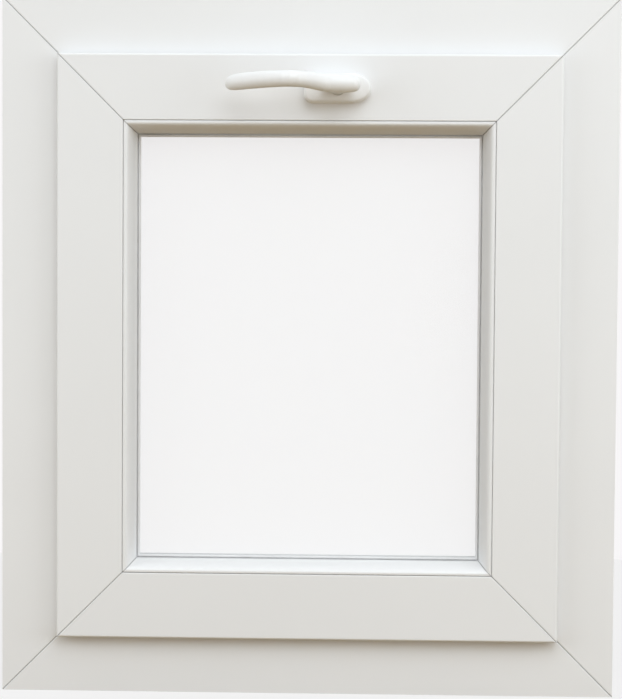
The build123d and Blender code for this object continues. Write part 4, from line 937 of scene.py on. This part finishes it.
# ---------------------------------------------------------------- drainage caps
CAP_SIDE = 3 * MM
CAP_FRONT = 1.4 * MM
CAP_OUTLET = 6 * MM
CAP_RIM = 1.6 * MM
CAP_RECESS = 0.5 * MM
CAP_SLOPE = 1.3 * MM


class WINDOW_OT_drain_caps(bpy.types.Operator):
    """Model one hooded drain cap with a recessed front and an open underside, and copy it."""
    bl_idname = "window.drain_caps"
    bl_label = "Drainage caps"

    def execute(self, context):
        first, *others = loose_boxes("drainage_caps")
        caps = [self.model_cap(*first)]
        for low, _ in others:
            select_only(caps[0])
            bpy.ops.object.duplicate()
            copy = bpy.context.object
            copy.location = low - first[0]
            bpy.ops.object.transform_apply(location=True, rotation=True, scale=True)
            caps.append(copy)
        select_only(*caps)
        bpy.ops.object.join()
        caps[0].name = "drain_hoods"
        finish_piece(caps[0], "drainage_caps")
        return {"FINISHED"}

    def model_cap(self, low, high):
        """One cap: sloped hood, shallow front panel and an outlet cut from below."""
        cap = add_block(low, high)
        bpy.ops.object.mode_set(mode="EDIT")
        self.select_side(cap, Vector((0, 1, 0)))
        bpy.ops.mesh.inset(thickness=CAP_RIM, depth=0)
        bpy.ops.transform.translate(value=(0, -CAP_RECESS, 0))
        self.select_top_front(cap, high)
        bpy.ops.transform.translate(value=(0, -CAP_SLOPE, 0))
        bpy.ops.object.mode_set(mode="OBJECT")
        apply_modifier(cap, "BEVEL", width=0.45 * MM, segments=3, limit_method="ANGLE",
                       angle_limit=math.radians(30))
        outlet_low = (low.x + CAP_SIDE, low.y - 1 * MM, low.z - 1 * MM)
        outlet_high = (high.x - CAP_SIDE, high.y - CAP_FRONT, low.z + CAP_OUTLET)
        cut_with(cap, [add_block(outlet_low, outlet_high)])
        return cap

    def select_side(self, cap, towards):
        """Select the face that looks one way."""
        bpy.ops.mesh.select_all(action="DESELECT")
        shape = bmesh.from_edit_mesh(cap.data)
        for face in shape.faces:
            if face.normal.dot(towards) > 0.9:
                face.select_set(True)
        bmesh.update_edit_mesh(cap.data)

    def select_top_front(self, cap, high):
        """Select the outer corners along the hood's top front edge."""
        bpy.ops.mesh.select_all(action="DESELECT")
        shape = bmesh.from_edit_mesh(cap.data)
        for edge in shape.edges:
            if all((corner.co - high).z > -0.01 * MM and (corner.co - high).y > -0.01 * MM
                   for corner in edge.verts):
                edge.select_set(True)
        bmesh.update_edit_mesh(cap.data)


# ---------------------------------------------------------------- stage
FLOOR_SIZE = (4.2, 3.4, 1)
FLOOR_MIDDLE = (0, -0.9, 0)
COOL_LIGHT = (0.885, 0.95, 1.0)
SIDE_SIZE = 1.4


def make_world(backdrop):
    """Soft light: bright above, dim and warm below, with a plain backdrop for the camera."""
    world = bpy.data.worlds.new("studio")
    world.use_nodes = True
    nodes = world.node_tree.nodes
    links = world.node_tree.links
    nodes.clear()
    coordinates = nodes.new("ShaderNodeTexCoord")
    axes = nodes.new("ShaderNodeSeparateXYZ")
    ramp = nodes.new("ShaderNodeValToRGB")
    stops = ramp.color_ramp
    stops.elements[0].position = 0.0
    stops.elements[0].color = (0.20, 0.14, 0.08, 1)
    stops.elements[1].position = 1.0
    stops.elements[1].color = (1.0, 1.0, 1.0, 1)
    low = stops.elements.new(0.42)
    low.color = (0.17, 0.125, 0.07, 1)
    middle = stops.elements.new(0.5)
    middle.color = (0.36, 0.37, 0.39, 1)
    half = nodes.new("ShaderNodeMapRange")
    half.inputs["From Min"].default_value = -1.0
    half.inputs["From Max"].default_value = 1.0
    seen = nodes.new("ShaderNodeBackground")
    seen.inputs["Color"].default_value = backdrop
    glow = nodes.new("ShaderNodeBackground")
    glow.inputs["Strength"].default_value = 0.95
    path = nodes.new("ShaderNodeLightPath")
    mix = nodes.new("ShaderNodeMixShader")
    output = nodes.new("ShaderNodeOutputWorld")
    links.new(coordinates.outputs["Generated"], axes.inputs["Vector"])
    links.new(axes.outputs["Z"], half.inputs["Value"])
    links.new(half.outputs["Result"], ramp.inputs["Fac"])
    links.new(ramp.outputs["Color"], glow.inputs["Color"])
    links.new(path.outputs["Is Camera Ray"], mix.inputs["Fac"])
    links.new(glow.outputs["Background"], mix.inputs[1])
    links.new(seen.outputs["Background"], mix.inputs[2])
    links.new(mix.outputs["Shader"], output.inputs["Surface"])
    return world


def pale_floor():
    """Pale floor, close to the backdrop's tone, that bounces a warmer light than it shows."""
    material, shader, place = new_material("pale_floor")
    nodes = material.node_tree.nodes
    links = material.node_tree.links
    cloud = add_noise(material, place, 1.5, 2.0)
    tone = two_tone(material, cloud, (0.86, 0.855, 0.85, 1), (0.89, 0.885, 0.88, 1))
    links.new(tone, shader.inputs["Base Color"])
    shader.inputs["Roughness"].default_value = 0.7
    bounce = nodes.new("ShaderNodeBsdfDiffuse")
    bounce.inputs["Color"].default_value = (0.30, 0.21, 0.10, 1)
    path = nodes.new("ShaderNodeLightPath")
    mix = nodes.new("ShaderNodeMixShader")
    lift = nodes.new("ShaderNodeEmission")
    lift.inputs["Color"].default_value = (0.905, 0.90, 0.90, 1)
    even = nodes.new("ShaderNodeMixShader")
    even.inputs["Fac"].default_value = 0.8
    links.new(shader.outputs["BSDF"], even.inputs[1])
    links.new(lift.outputs["Emission"], even.inputs[2])
    links.new(path.outputs["Is Camera Ray"], mix.inputs["Fac"])
    links.new(bounce.outputs["BSDF"], mix.inputs[1])
    links.new(even.outputs["Shader"], mix.inputs[2])
    links.new(mix.outputs["Shader"], nodes["Material Output"].inputs["Surface"])
    return material


def add_soft_light(name, place, size, power):
    """Large square area light, slightly cool, aimed at the middle of the window."""
    bpy.ops.object.light_add(type="AREA", location=place)
    light = bpy.context.object
    light.name = name
    light.data.size = size
    light.data.energy = power
    light.data.color = COOL_LIGHT
    light.rotation_euler = (WINDOW_MIDDLE - Vector(place)).to_track_quat("-Z", "Y").to_euler()


class WINDOW_OT_stage(bpy.types.Operator):
    """Set up the floor, the soft light and the camera."""
    bl_idname = "window.stage"
    bl_label = "Stage"

    def execute(self, context):
        stage = context.scene.window_stage
        bpy.ops.object.select_all(action="DESELECT")
        bpy.ops.mesh.primitive_plane_add(size=1, location=FLOOR_MIDDLE)
        floor = bpy.context.object
        floor.name = "floor"
        floor.scale = FLOOR_SIZE
        bpy.ops.object.transform_apply(location=True, rotation=True, scale=True)
        floor.data.materials.append(pale_floor())
        context.scene.world = make_world(tuple(stage.backdrop))
        add_soft_light("key_above", (0.45, -2.0, 2.0), size=1.9, power=stage.key_power)
        add_soft_light("side_right", (2.0, -1.2, 0.75), size=SIDE_SIZE, power=17)
        add_soft_light("side_left", (-2.0, -1.2, 0.75), size=SIDE_SIZE, power=15)
        bpy.ops.object.camera_add(location=stage.camera_place, rotation=stage.camera_turn)
        camera = bpy.context.object
        camera.data.lens = stage.camera_lens
        camera.data.sensor_width = SENSOR_WIDTH
        context.scene.camera = camera
        context.scene.view_settings.view_transform = "Standard"
        return {"FINISHED"}


# ---------------------------------------------------------------- panel and registration
class WINDOW_PT_panel(bpy.types.Panel):
    """Lists the window's settings and its making steps."""
    bl_label = "Tilting window"
    bl_idname = "WINDOW_PT_panel"
    bl_space_type = "VIEW_3D"
    bl_region_type = "UI"
    bl_category = "Window"

    def draw(self, context):
        layout = self.layout
        scene = context.scene
        for group in (scene.window_finish, scene.window_shape, scene.window_stage):
            for name in group.bl_rna.properties.keys():
                if name not in ("rna_type", "name"):
                    layout.prop(group, name)
        for operator in STEPS:
            layout.operator(operator.bl_idname)


STEPS = (
    WINDOW_OT_finishes,
    WINDOW_OT_lever,
    WINDOW_OT_rosette,
    WINDOW_OT_seals,
    WINDOW_OT_spacer,
    WINDOW_OT_screws,
    WINDOW_OT_fittings,
    WINDOW_OT_drain_caps,
    WINDOW_OT_stage,
)
CLASSES = (WindowFinish, WindowShape, WindowStage, *STEPS, WINDOW_PT_panel)


def register():
    """Register the classes and hang the settings on the scene."""
    for item in CLASSES:
        bpy.utils.register_class(item)
    bpy.types.Scene.window_finish = bpy.props.PointerProperty(type=WindowFinish)
    bpy.types.Scene.window_shape = bpy.props.PointerProperty(type=WindowShape)
    bpy.types.Scene.window_stage = bpy.props.PointerProperty(type=WindowStage)


def unregister():
    """Remove the settings and the classes."""
    del bpy.types.Scene.window_stage
    del bpy.types.Scene.window_shape
    del bpy.types.Scene.window_finish
    for item in reversed(CLASSES):
        bpy.utils.unregister_class(item)


def main():
    """Make the window step by step."""
    register()
    bpy.ops.window.finishes()
    bpy.ops.window.lever()
    bpy.ops.window.rosette()
    bpy.ops.window.seals()
    bpy.ops.window.spacer()
    bpy.ops.window.screws()
    bpy.ops.window.fittings()
    bpy.ops.window.drain_caps()
    bpy.ops.window.stage()


if __name__ == "__main__":
    main()
